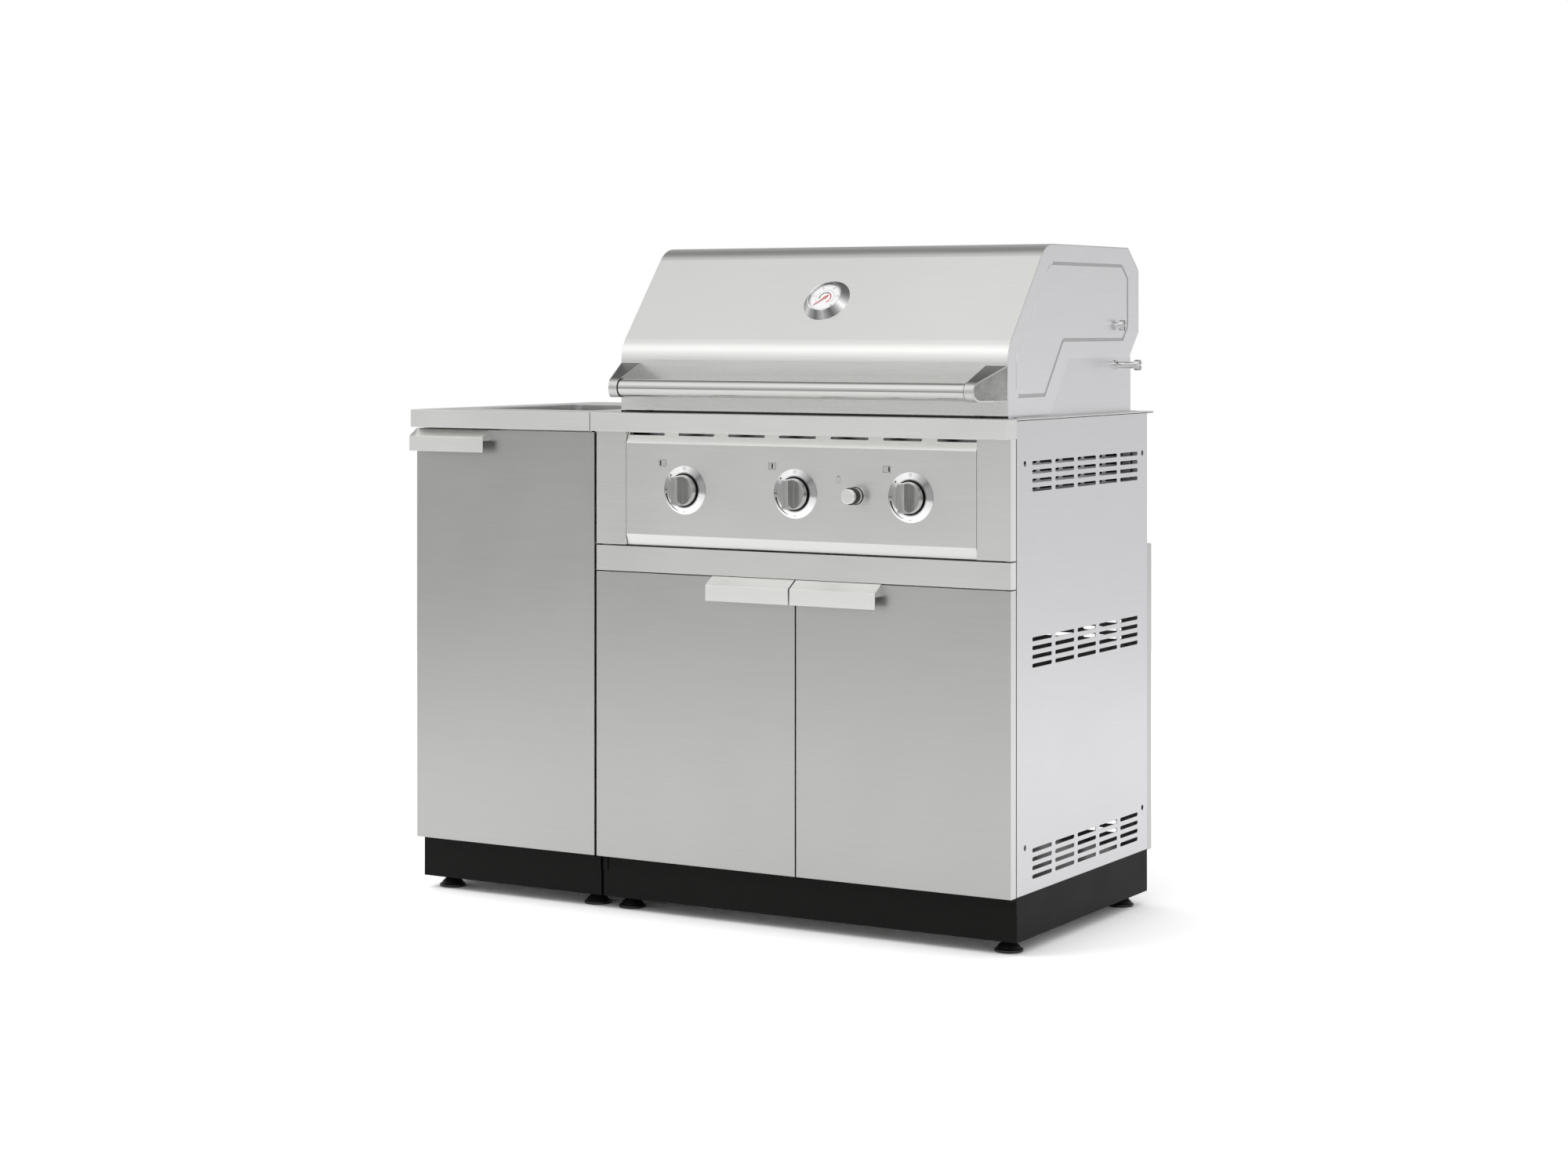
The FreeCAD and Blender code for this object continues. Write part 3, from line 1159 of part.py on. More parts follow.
def warming_rack():
    """Raised rack of bars across the grill, on four legs that stand on the tub's rim."""
    x1 = CHASSIS_INNER_X - RACK_INSET
    x0 = 2 * GRILL_X - x1
    top = RACK_LEVEL + RACK_BAR
    bars = []
    for step in range(RACK_BARS):
        y = RACK_FRONT + RACK_PITCH * step
        bars.append(box(x0, x1, y, y + RACK_BAR, RACK_LEVEL, top))
    for left in (x0, x1 - RACK_BAR):
        bars.append(box(left, left + RACK_BAR, RACK_FRONT, RACK_LAST + RACK_BAR, RACK_LEVEL, top))
        for y in (RACK_FRONT, RACK_LAST):
            bars.append(box(left, left + RACK_BAR, y, y + RACK_BAR, TUB_TOP, top))
    return join(bars)


def drip_tray():
    """Shallow tray that slides out at the back, with a lip to pull it by."""
    x0 = 2 * GRILL_X - TRAY_X1
    x1 = TRAY_X1
    y0 = CHASSIS_FRONT + TRAY_FRONT_GAP
    y1 = CHASSIS_BACK - TRAY_BACK_GAP
    z0 = TRAY_BOTTOM
    z1 = z0 + TRAY_HEIGHT
    wall = TRAY_SHEET
    pan = box(x0, x1, y0, y1, z0, z1).cut(box(x0 + wall, x1 - wall, y0 + wall, y1 - wall, z0 + wall, z1))
    lip = box(x0, x1, y1, y1 + TRAY_LIP, z1 - wall, z1)
    return join([pan, lip])


# Hood
def hood_skin():
    """Front, slope, top and back of the hood in one bent sheet, bored for the gauge."""
    skin = band(HOOD_PATH, HOOD_SHEET, 2 * GRILL_X - HOOD_X1, HOOD_X1, HOOD_RADII)
    hole = on_slope(rod((0, 0, -PROBE_LENGTH), (0, 0, HOOD_SHEET), PROBE_RADIUS))
    return skin.cut(hole)


def hood_side():
    """Right side of the hood, pressed with a groove that follows its edge."""
    inner = offset(HOOD_PATH, HOOD_SHEET)
    inner_radii = [max(radius - HOOD_SHEET, 0) for radius in HOOD_RADII]
    plate = slab(inner + HOOD_UNDERSIDE, HOOD_INNER_X, HOOD_X1, inner_radii + [0] * len(HOOD_UNDERSIDE))
    rim = HOOD_PATH[:3] + [(y - GROOVE_BACK_SHIFT, z) for y, z in HOOD_PATH[3:] + HOOD_UNDERSIDE[1:2]]
    rim += [(y - GROOVE_NOTCH_SHIFT, z) for y, z in HOOD_UNDERSIDE[2:]]
    corners = [max(radius - GROOVE_INSET, GROOVE_CORNER) for radius in HOOD_RADII]
    corners += [GROOVE_CORNER] * (len(rim) - len(corners))
    outer_line = offset(rim, GROOVE_INSET - GROOVE_WIDTH / 2, closed=True)
    inner_line = offset(rim, GROOVE_INSET + GROOVE_WIDTH / 2, closed=True)
    floor_x = HOOD_X1 - GROOVE_DEPTH
    groove = slab(outer_line, floor_x, HOOD_X1 + HOOD_SHEET, corners).cut(
        slab(inner_line, floor_x, HOOD_X1 + HOOD_SHEET, corners))
    bolt_hole = rod((HOOD_INNER_X, PIVOT_Y, STOP_BOLT_LEVEL), (HOOD_X1, PIVOT_Y, STOP_BOLT_LEVEL),
                    STOP_BOLT_RADIUS + STOP_BOLT_CLEARANCE)
    return plate.cut([groove, bolt_hole])


def hood_hinge_arm():
    """Arm inside the hood that turns on the hinge pin, padded out to the hood's side."""
    half = ARM_WIDTH / 2
    y = PIVOT_Y
    hole_radius = STOP_BOLT_RADIUS + STOP_BOLT_CLEARANCE
    arm = join([
        box(ARM_X0, ARM_X1, y - half, y + half, PIVOT_Z, ARM_TOP),
        rod((ARM_X0, y, PIVOT_Z), (ARM_X1, y, PIVOT_Z), ARM_LOBE_RADIUS),
        box(ARM_X0, HOOD_INNER_X, y - half, y + half, ARM_TOP - ARM_PAD_HEIGHT, ARM_TOP),
    ])
    return arm.cut([
        rod((ARM_X0, y, PIVOT_Z), (ARM_X1, y, PIVOT_Z), PIVOT_PIN_RADIUS + RUNNING_FIT),
        rod((ARM_X0, y, STOP_BOLT_LEVEL), (ARM_X1, y, STOP_BOLT_LEVEL), hole_radius),
    ])


def screw_head(x0, x1, y, z, radius):
    """Round head with a cross slot in its face."""
    half = WRENCH_SLOT / 2
    return rod((x0, y, z), (x1, y, z), radius).cut([
        box(x1 - WRENCH_SLOT, x1, y - radius, y + radius, z - half, z + half),
        box(x1 - WRENCH_SLOT, x1, y - half, y + half, z - radius, z + radius),
    ])


def hood_hinge_pin():
    """Pin through the chassis side that the hood's arm turns on, with its long head outside."""
    y = PIVOT_Y
    z = PIVOT_Z
    nut_x = ARM_X0 - PIN_COLLAR_GAP
    return join([
        rod((nut_x, y, z), (PIVOT_HEAD_X - PIVOT_HEAD_LENGTH, y, z), PIVOT_PIN_RADIUS),
        screw_head(PIVOT_HEAD_X - PIVOT_HEAD_LENGTH, PIVOT_HEAD_X, y, z, PIVOT_HEAD_RADIUS),
        rod((CHASSIS_X1, y, z), (CHASSIS_X1 + ARM_SPACING, y, z), PIVOT_COLLAR_RADIUS),
        rod((ARM_X1 + PIN_COLLAR_GAP, y, z), (CHASSIS_INNER_X, y, z), PIVOT_COLLAR_RADIUS),
        rod((nut_x - PIVOT_NUT_LENGTH, y, z), (nut_x, y, z), PIVOT_HEAD_RADIUS),
    ])


def hood_stop_bolt():
    """Bolt that ties the hood's side to its arm and whose tail meets the stop."""
    y = PIVOT_Y
    z = STOP_BOLT_LEVEL
    head_x = HOOD_X1 + STOP_BOLT_REACH
    return join([
        rod((ARM_X0 - STOP_BOLT_TAIL, y, z), (HOOD_X1, y, z), STOP_BOLT_RADIUS),
        rod((ARM_X1, y, z), (HOOD_INNER_X, y, z), STOP_SPACER_RADIUS),
        rod((HOOD_X1, y, z), (head_x - STOP_BOLT_HEAD_LENGTH, y, z), STOP_BOLT_SHANK),
        screw_head(head_x - STOP_BOLT_HEAD_LENGTH, head_x, y, z, STOP_BOLT_HEAD_RADIUS),
    ])


def hood_handle_bracket():
    """Cast arm that holds the right end of the bar, slanted on its outer side."""
    radius = BRACKET_NOSE_RADIUS
    tangent = math.atan2(BRACKET_RISE, BAR_REACH) - math.asin(radius / math.hypot(BRACKET_RISE, BAR_REACH))
    wedge = slab([
        (BAR_Y, BAR_Z - radius),
        (BAR_Y - radius * math.sin(tangent), BAR_Z + radius * math.cos(tangent)),
        (HOOD_FRONT, BAR_Z + BRACKET_RISE),
        (HOOD_FRONT, BAR_Z - radius),
    ], BAR_INNER_X, HOOD_X1)
    nose = rod((BAR_INNER_X, BAR_Y, BAR_Z), (HOOD_X1, BAR_Y, BAR_Z), radius)
    outer_x = HOOD_X1 + BRACKET_INNER_INSET
    corners = [
        Vector(HOOD_X1, HOOD_FRONT, 0),
        Vector(HOOD_X1 - BRACKET_NOSE_INSET, BAR_Y - radius, 0),
        Vector(outer_x, BAR_Y - radius, 0),
        Vector(outer_x, HOOD_FRONT, 0),
    ]
    slant = Part.Face(Part.makePolygon(corners + corners[:1])).extrude(Vector(0, 0, HOOD_TOP))
    socket_end = BAR_INNER_X + BAR_SOCKET
    socket = rod((BAR_INNER_X, BAR_Y, BAR_Z), (socket_end, BAR_Y, BAR_Z), BAR_RADIUS + BAR_CLEARANCE)
    return join([wedge, nose]).cut([slant, socket])


def hood_handle_bar():
    """Round bar whose ends lie in the brackets' sockets."""
    end = BAR_INNER_X + BAR_SOCKET
    return rod((2 * GRILL_X - end, BAR_Y, BAR_Z), (end, BAR_Y, BAR_Z), BAR_RADIUS)


def hood_bumpers():
    """Rubber blocks on the counter that the hood's front edge closes onto."""
    x = HOOD_X1 - BUMPER_INSET
    half = BUMPER_WIDTH / 2
    front = HOOD_FRONT - BUMPER_LEAD
    top = HOOD_BOTTOM - BUMPER_GAP
    return both_sides(box(x - half, x + half, front, front + BUMPER_DEPTH, COUNTER_TOP, top))


# Temperature gauge, drawn flat and then laid on the hood's slope
def on_slope(shape):
    """A shape drawn upright round the origin, moved to stand on the hood's slope."""
    height = HOOD_BEND_LEVEL + GAUGE_SETBACK * math.tan(HOOD_SLOPE)
    turn = Rotation(Vector(1, 0, 0), math.degrees(HOOD_SLOPE))
    placed = shape.copy()
    placed.Placement = Placement(Vector(GRILL_X, GAUGE_Y, height), turn).multiply(shape.Placement)
    return placed


def gauge_case():
    """Conical rim with the recess for the dial and glass, and the probe behind it."""
    body = join([
        rod((0, 0, 0), (0, 0, GAUGE_HEIGHT), GAUGE_BASE_RADIUS, GAUGE_RIM_RADIUS),
        rod((0, 0, -PROBE_LENGTH), (0, 0, 0), PROBE_RADIUS),
        rod((0, 0, -HOOD_SHEET - PROBE_NUT_HEIGHT), (0, 0, -HOOD_SHEET), PROBE_NUT_RADIUS),
    ])
    return on_slope(body.cut([
        rod((0, 0, DIAL_LEVEL - DIAL_THICKNESS), (0, 0, GLASS_LEVEL), DIAL_RADIUS),
        rod((0, 0, GLASS_LEVEL), (0, 0, GLASS_LEVEL + GLASS_THICKNESS), GLASS_RADIUS),
        rod((0, 0, GLASS_LEVEL), (0, 0, GAUGE_HEIGHT), GLASS_RADIUS - GAUGE_LIP),
    ]))


def gauge_dial():
    """Dial plate with the spindle of the needle."""
    return on_slope(join([
        rod((0, 0, DIAL_LEVEL - DIAL_THICKNESS), (0, 0, DIAL_LEVEL), DIAL_RADIUS),
        rod((0, 0, DIAL_LEVEL), (0, 0, SPINDLE_TOP), SPINDLE_RADIUS),
    ]))


def gauge_needle():
    """Tapered needle with a round hub that turns on the spindle."""
    corners = [
        Vector(-NEEDLE_TAIL, -NEEDLE_ROOT / 2, NEEDLE_LEVEL),
        Vector(NEEDLE_LENGTH, -NEEDLE_TIP / 2, NEEDLE_LEVEL),
        Vector(NEEDLE_LENGTH, NEEDLE_TIP / 2, NEEDLE_LEVEL),
        Vector(-NEEDLE_TAIL, NEEDLE_ROOT / 2, NEEDLE_LEVEL),
    ]
    blade = Part.Face(Part.makePolygon(corners + corners[:1])).extrude(Vector(0, 0, NEEDLE_THICKNESS))
    hub = rod((0, 0, NEEDLE_LEVEL - NEEDLE_THICKNESS / 2), (0, 0, SPINDLE_TOP), NEEDLE_HUB_RADIUS)
    needle = join([blade, hub]).cut(rod((0, 0, 0), (0, 0, GAUGE_HEIGHT), SPINDLE_RADIUS + RUNNING_FIT))
    needle.rotate(Vector(0, 0, 0), Vector(0, 0, 1), NEEDLE_REST_ANGLE)
    return on_slope(needle)


def gauge_glass():
    """Disc over the dial and needle."""
    return on_slope(rod((0, 0, GLASS_LEVEL), (0, 0, GLASS_LEVEL + GLASS_THICKNESS), GLASS_RADIUS))


# Every piece by the name of its file
SLOT_LEVELS = (TOP_SLOT_LEVEL, MIDDLE_SLOT_LEVEL, BOTTOM_SLOT_LEVEL)
PIECES = {
    "left_plinth": plinth(LEFT_X0, LEFT_X1),
    "right_plinth": plinth(RIGHT_X0, 0),
    "levelling_feet": levelling_feet(),
    "left_outer_side": side_panel(LEFT_X0, 1, SLOT_LEVELS, 0),
    "left_inner_side": side_panel(LEFT_X1, -1, (), JOIN_BOLT_INSET),
    "right_inner_side": side_panel(RIGHT_X0, 1, (), JOIN_BOLT_INSET),
    "right_outer_side": side_panel(0, -1, SLOT_LEVELS, 0),
    "cabinet_floors": cabinet_floors(),
    "left_back_pan": back_pan(LEFT_X0, LEFT_X1, FLOOR_LEVEL - BACK_PAN_DROP, COUNTER_UNDER),
    "right_back_pan": right_back_pan(),
    "cross_rails": cross_rails(),
    "left_shelf": left_shelf(),
    "joining_bolts": joining_bolts(),
    "left_counter": left_counter(),
    "right_counter": right_counter(),
    "basin": basin(),
    "basin_drain": basin_drain(),
    "door_hinge_pins": door_hinge_pins(),
    "front_rail": front_rail(),
    "front_stiles": front_stiles(),
    "control_panel": control_panel(),
    "knob_bezels": knob_bezels(),
    "igniter_collar": igniter_collar(),
    "igniter_button": igniter_button(),
    "manifold": manifold(),
    "gas_valves": group([gas_valve(x) for x in KNOB_X]),
    "burners": group([burner(x) for x in KNOB_X]),
    "grill_chassis": grill_chassis(),
    "firebox": firebox(),
    "heat_tents": group([heat_tent(x) for x in KNOB_X]),
    "cooking_grates": cooking_grates(),
    "warming_rack": warming_rack(),
    "drip_tray": drip_tray(),
    "hood_skin": hood_skin(),
    "hood_sides": both_sides(hood_side()),
    "hood_hinge_arms": both_sides(hood_hinge_arm()),
    "hood_hinge_pins": both_sides(hood_hinge_pin()),
    "hood_stop_bolts": both_sides(hood_stop_bolt()),
    "hood_handle_brackets": both_sides(hood_handle_bracket()),
    "hood_handle_bar": hood_handle_bar(),
    "hood_bumpers": hood_bumpers(),
    "gauge_case": gauge_case(),
    "gauge_dial": gauge_dial(),
    "gauge_needle": gauge_needle(),
    "gauge_glass": gauge_glass(),
}
for title, door in (("left", LEFT_DOOR), ("middle", MIDDLE_DOOR), ("right", RIGHT_DOOR)):
    x0, x1, top, pin_x, handle_x = door
    PIECES[title + "_door_shell"] = door_shell(x0, x1, top, pin_x)
    PIECES[title + "_door_liner"] = door_liner(x0, x1, top)
    PIECES[title + "_door_handle"] = door_handle(top, handle_x)
for title, x in zip(("left", "middle", "right"), KNOB_X):
    PIECES[title + "_knob"] = knob(x)
    PIECES[title + "_valve_plunger"] = valve_plunger(x)

# The origin lies on the ground under the middle of the whole island
ORIGIN_X = (LEFT_X0 - COUNTER_OVERHANG + PIVOT_HEAD_X) / 2
ORIGIN_Y = (BAR_Y - BRACKET_NOSE_RADIUS + COUNTER_BACK) / 2

os.makedirs("parts", exist_ok=True)
for title, shape in PIECES.items():
    shape.translated(Vector(-ORIGIN_X, -ORIGIN_Y, 0)).exportStep("parts/" + title + ".step")
print(len(PIECES), "pieces, origin at drawing X", round(ORIGIN_X, 2), "Y", round(ORIGIN_Y, 2))
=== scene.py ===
"""Looks of the outdoor kitchen island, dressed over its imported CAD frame.

Shapes are drawn in millimetres. The frame, its materials' patterns, the lamp and the camera are in metres.
"""

import json
import math

import bmesh
import bpy
from mathutils import Matrix, Vector


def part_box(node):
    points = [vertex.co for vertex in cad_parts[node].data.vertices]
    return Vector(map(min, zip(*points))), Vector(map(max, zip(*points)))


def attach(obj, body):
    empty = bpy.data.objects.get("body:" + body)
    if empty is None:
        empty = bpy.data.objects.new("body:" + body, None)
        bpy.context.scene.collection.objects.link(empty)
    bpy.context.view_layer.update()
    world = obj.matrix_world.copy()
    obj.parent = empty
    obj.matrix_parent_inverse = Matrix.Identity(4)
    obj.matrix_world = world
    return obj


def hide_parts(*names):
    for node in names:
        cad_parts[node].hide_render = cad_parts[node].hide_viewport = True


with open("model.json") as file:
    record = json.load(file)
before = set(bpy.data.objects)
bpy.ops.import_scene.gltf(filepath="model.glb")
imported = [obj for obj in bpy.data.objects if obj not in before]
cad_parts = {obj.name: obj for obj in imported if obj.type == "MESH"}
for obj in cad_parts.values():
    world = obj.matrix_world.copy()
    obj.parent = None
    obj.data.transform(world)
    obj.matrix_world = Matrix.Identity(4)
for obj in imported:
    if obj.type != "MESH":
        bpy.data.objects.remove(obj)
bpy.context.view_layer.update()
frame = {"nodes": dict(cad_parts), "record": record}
nodes = frame["nodes"]
record = frame["record"]

# From the drawing to the finished frame
MM = 0.001
ORIGIN_X = -620.92
ORIGIN_Y = 283.05

# Cabinets and counters
LEFT_X0 = -1260.2
LEFT_X1 = -852.4
RIGHT_X0 = -847.1
RIGHT_X1 = 0.0
FLOOR = 101.7
PLINTH_FRONT = 23.6
CARCASS_FRONT = 21.5
CARCASS_BACK = 576.5
COUNTER_TOP = 918.0
COUNTER_UNDER = 916.0
BACK_PAN_TOP = 670.4
BACK_PAN_BACK = 596.22
SHELF_PEG_LEVEL = 415.4
SHELF_PEG_PLACES = (110, 330, 550)

# Doors
DOOR_BOTTOM = 101.5
LEFT_DOOR_TOP = 881.0
RIGHT_DOOR_TOP = 626.1
DOOR_HALF_GAP = 1.6
DOOR_BACK = 20.02
SEAL_INSET = 7
SEAL_SECTION = ((0, 0), (1.2, 1.1), (4.8, 1.1), (6, 0))

# Painted shade in the seams: black sheets on the cabinets' front edges: left, right, low and high
SEAM_SHADES = ((-19.0, -0.15, 106, 618), (RIGHT_X0 + 0.15, RIGHT_X0 + 19, 106, 618),
         (LEFT_X0 + 0.15, LEFT_X0 + 19, 106, 870), (LEFT_X1 - 19, LEFT_X1 - 0.15, 106, 870),
         (-1.45, -0.3, 628.5, 673.9), (-1.45, -0.3, 677.3, 884.2))
SEAM_SHADE_LIFT = 0.02
SEAM_SHADE_THICKNESS = 0.5

# Painted shade at the right side: a black sheet under the counter's overhang and one in the seam beside the
# stile: middle across and up, width, height, back and front
SIDE_SHADES = ((0.3, COUNTER_UNDER - 0.7, 0.56, 1.3, -604.0, -2.0), (0.06, 493.1, 0.1, 782.0, -22.6, -20.2))

# Strips in front of the gap under the hood, black as painted shade of the gap: their left and right ends,
# then the section that all of them have
HOOD_STRIPS = ((-819.5, -773.5), (-751.5, -95.5), (-73.5, -27.5))
STRIP_MIDDLE = 919.8
STRIP_HEIGHT = 3.4
STRIP_FRONT = 40.4
STRIP_BACK = 41.8

# Control panel
KNOB_X = (-654.75, -423.55, -192.35)
KNOB_SPACING = 0.2312
KNOB_Z = 780.0
BEZEL_RADIUS = 44.0
BEZEL_EDGE = 1.2
BEZEL_RISE = 2.3 / 11
MARK_RADIUS = 39.3
MARK_THICKNESS = 0.07
MARK_LIFT = 0.12
DUST_RING = ((9.3, 1.02), (30.9, 1.02), (30.9, 3.0), (30.2, 3.0), (29.6, 1.3), (9.3, 1.3))
IGNITER_X = -300.05
BUTTON_RADIUS = 13.0
COLLAR_FRONT = 21.5
COLLAR_RADIUS = 15.0
CAP_BACK = 12.0
CAP_THICKNESS = 0.12
CAP_SIDE_GAP = 0.01
CAP_FRONT_GAP = 0.02
CAP_HOLE_GAP = 0.05

# The gasket at the collar's foot: its back and front levels and its width
GASKET = (2.52, 5.0, 0.9)

# Hood, its gauge and its handle
GRILL_X = -423.55
HOOD_X1 = -26.85
HOOD_SLOPE = math.atan2(186.3, 151.8)
GAUGE_MIDDLE = (GRILL_X, 112.6, 1122.84)
DIAL_LEVEL = 8.2
BAR_Y = -22.0
BAR_Z = 964.7
BAR_INNER_X = -69.85
BAR_RING = 1.3
NOSE_RADIUS = 17.5
BRACKET_REACH = 64.0
BRACKET_RISE = 44.3
BRACKET_SLANT = 25.6
BRACKET_SLOPE = (math.atan2(BRACKET_RISE, BRACKET_REACH)
                 - math.asin(NOSE_RADIUS / math.hypot(BRACKET_REACH, BRACKET_RISE)))

# Gas and water
INLET = (-761.6, 32, 700)
DRAIN_MIDDLE = (-1056.3, 265.0, 768.0)
BURNER_RADIUS = 16.0
PORT_ANGLE = 62
PORT_START = 116
PORT_STEP = 11
PORT_COUNT = 39
# A flame port's dark disc with its rim, painted shade in place of a hole
PORT_RIM = ((0, -0.2), (1.5, -0.2), (1.7, 0.15), (1.1, 0.15), (0.9, 0.02), (0, 0.02))


def at(x, y, z):
    """A point of the drawing, in millimetres, as a point of the frame in metres."""
    return Vector(((x - ORIGIN_X) / 1000, (y - ORIGIN_Y) / 1000, z / 1000))


# Materials
# Inputs are given by name, or by number where names repeat: Map Range takes its value at 0 and its four
# limits at 1 to 4, Mix takes its factor at 0, numbers at 2 and 3, vectors at 4 and 5 and colours at 6 and 7,
# and the Math nodes take their values in order.
GRAIN_LENGTH = 0.12
GRAIN_WIDTH = 0.0011
FOLD_RADIUS = 0.0012
NOISE_LOW = 0.3
NOISE_HIGH = 0.7

# The hood sides' groove: the middle between the two sides, the nearest and furthest distances from it at
# which the metal lies in the groove, and the lines (back, up and least reach) that its shade stays behind
HOOD_GROOVE = (0.197375, 0.3958, 0.39655, ((1.0, 0.0, -0.19605), (0.7753, -0.6317, -0.79646)))
# How much the painted shade darkens the metal's colour in the groove
GROOVE_SHADE = 0.62

# Painted reflection on the turned parts: spokes of light and dark by angle, in degrees, with sRGB greys from
# 0 to 255
GAUGE_PAINTED_SPOKES = ((-180, 176), (-150, 220), (-135, 235), (-120, 184), (-100, 118), (-78, 196), (-55, 122),
                (-38, 168), (-20, 225), (-5, 176), (30, 152), (60, 132), (85, 112), (105, 140), (130, 235),
                (160, 240), (180, 176))
BEZEL_PAINTED_SPOKES = ((-180, 160), (-165, 182), (-140, 226), (-90, 232), (-45, 240), (-12, 238), (-4, 172),
                (22, 168), (38, 132), (48, 168), (62, 192), (80, 236), (98, 253), (132, 253), (152, 176),
                (180, 160))


def linear(hex_colour):
    """An sRGB hex value as a linear colour."""
    parts = [int(hex_colour[i:i + 2], 16) / 255 for i in (1, 3, 5)]
    return [c / 12.92 if c <= 0.04045 else ((c + 0.055) / 1.055) ** 2.4 for c in parts] + [1.0]


def add(tree, kind, inputs=None, **settings):
    """A new node with its settings, and its inputs set or linked."""
    family = "GeometryNode" if tree.bl_idname == "GeometryNodeTree" else "ShaderNode"
    new = tree.nodes.new(family + kind)
    for key, value in settings.items():
        setattr(new, key, value)
    for socket, value in (inputs or {}).items():
        if isinstance(value, bpy.types.NodeSocket):
            tree.links.new(value, new.inputs[socket])
        else:
            new.inputs[socket].default_value = value
    return new


def start_material(name):
    """An empty material and its object coordinates."""
    material = bpy.data.materials.new(name)
    material.use_nodes = True
    tree = material.node_tree
    tree.nodes.clear()
    place = add(tree, "TexCoord")
    return material, tree, place


def end_material(tree, shader):
    """The shader as the material's surface."""
    add(tree, "OutputMaterial", {"Surface": shader.outputs[0]})


def angle_ramp(tree, angle, stops):
    """Greys round a full turn: angles from -180 to 180 degrees with their linear levels."""
    turn = add(tree, "MapRange", {0: angle, 1: -math.pi, 2: math.pi, 3: 0.0, 4: 1.0})
    ramp = add(tree, "ValToRGB", {0: turn.outputs[0]})
    elements = ramp.color_ramp.elements
    while len(elements) < len(stops):
        elements.new(0.5)
    for element, (degrees, level) in zip(elements, stops):
        element.position = (degrees + 180) / 360
        element.color = (level, level, level, 1.0)
    return ramp.outputs[0]


def from_noise(tree, noise, low, high):
    """A noise's usual range, stretched to run between two values."""
    return add(tree, "MapRange", {0: noise.outputs[0], 1: NOISE_LOW, 2: NOISE_HIGH, 3: low, 4: high})


def level_lines(tree, place, length, width):
    """Coordinates for level lines, from left to right on a front and from front to back on a side."""
    long, short = 1 / length, 1 / width
    front = add(tree, "Mapping", {"Vector": place.outputs["Object"], "Scale": (long, short, short)})
    side = add(tree, "Mapping", {"Vector": place.outputs["Object"], "Scale": (short, long, short)})
    faced = add(tree, "SeparateXYZ", {0: place.outputs["Normal"]})
    amount = add(tree, "Math", {0: faced.outputs[0]}, operation="ABSOLUTE")
    is_side = add(tree, "Math", {0: amount.outputs[0], 1: 0.7}, operation="GREATER_THAN")
    return add(tree, "Mix", {0: is_side.outputs[0], 4: front.outputs[0], 5: side.outputs[0]},
               data_type="VECTOR").outputs[1]


def painted_facing_light(tree, place, front_painted_light, side_painted_light):
    """Painted light: how much lighter the colour is made on faces that stand upright to the front, or to the
    right.
    """
    faced = add(tree, "SeparateXYZ", {0: place.outputs["Normal"]})
    frontal = add(tree, "MapRange", {0: faced.outputs[1], 1: -0.85, 2: -0.99, 3: 1.0, 4: front_painted_light})
    sideways = add(tree, "MapRange", {0: faced.outputs[0], 1: 0.85, 2: 0.99, 3: 1.0, 4: side_painted_light})
    return add(tree, "Math", {0: frontal.outputs[0], 1: sideways.outputs[0]}, operation="MULTIPLY").outputs[0]


def groove_painted_shade(tree, place, groove):
    """Painted shade: how much darker the metal's colour is made inside a groove pressed into two sides."""
    middle, near, far, fronts = groove
    position = place.outputs["Object"]
    across = add(tree, "SeparateXYZ", {0: position})
    offset = add(tree, "Math", {0: across.outputs[0], 1: middle}, operation="SUBTRACT")
    distance = add(tree, "Math", {0: offset.outputs[0]}, operation="ABSOLUTE")
    past = add(tree, "Math", {0: distance.outputs[0], 1: near}, operation="GREATER_THAN")
    before = add(tree, "Math", {0: distance.outputs[0], 1: far}, operation="LESS_THAN")
    inside = add(tree, "Math", {0: past.outputs[0], 1: before.outputs[0]}, operation="MULTIPLY")
    for back, up, least in fronts:
        reach = add(tree, "VectorMath", {0: position, 1: (0, back, up)}, operation="DOT_PRODUCT")
        behind = add(tree, "Math", {0: reach.outputs["Value"], 1: least}, operation="GREATER_THAN")
        inside = add(tree, "Math", {0: inside.outputs[0], 1: behind.outputs[0]}, operation="MULTIPLY")
    return add(tree, "MapRange", {0: inside.outputs[0], 1: 0.0, 2: 1.0, 3: 1.0, 4: GROOVE_SHADE}).outputs[0]


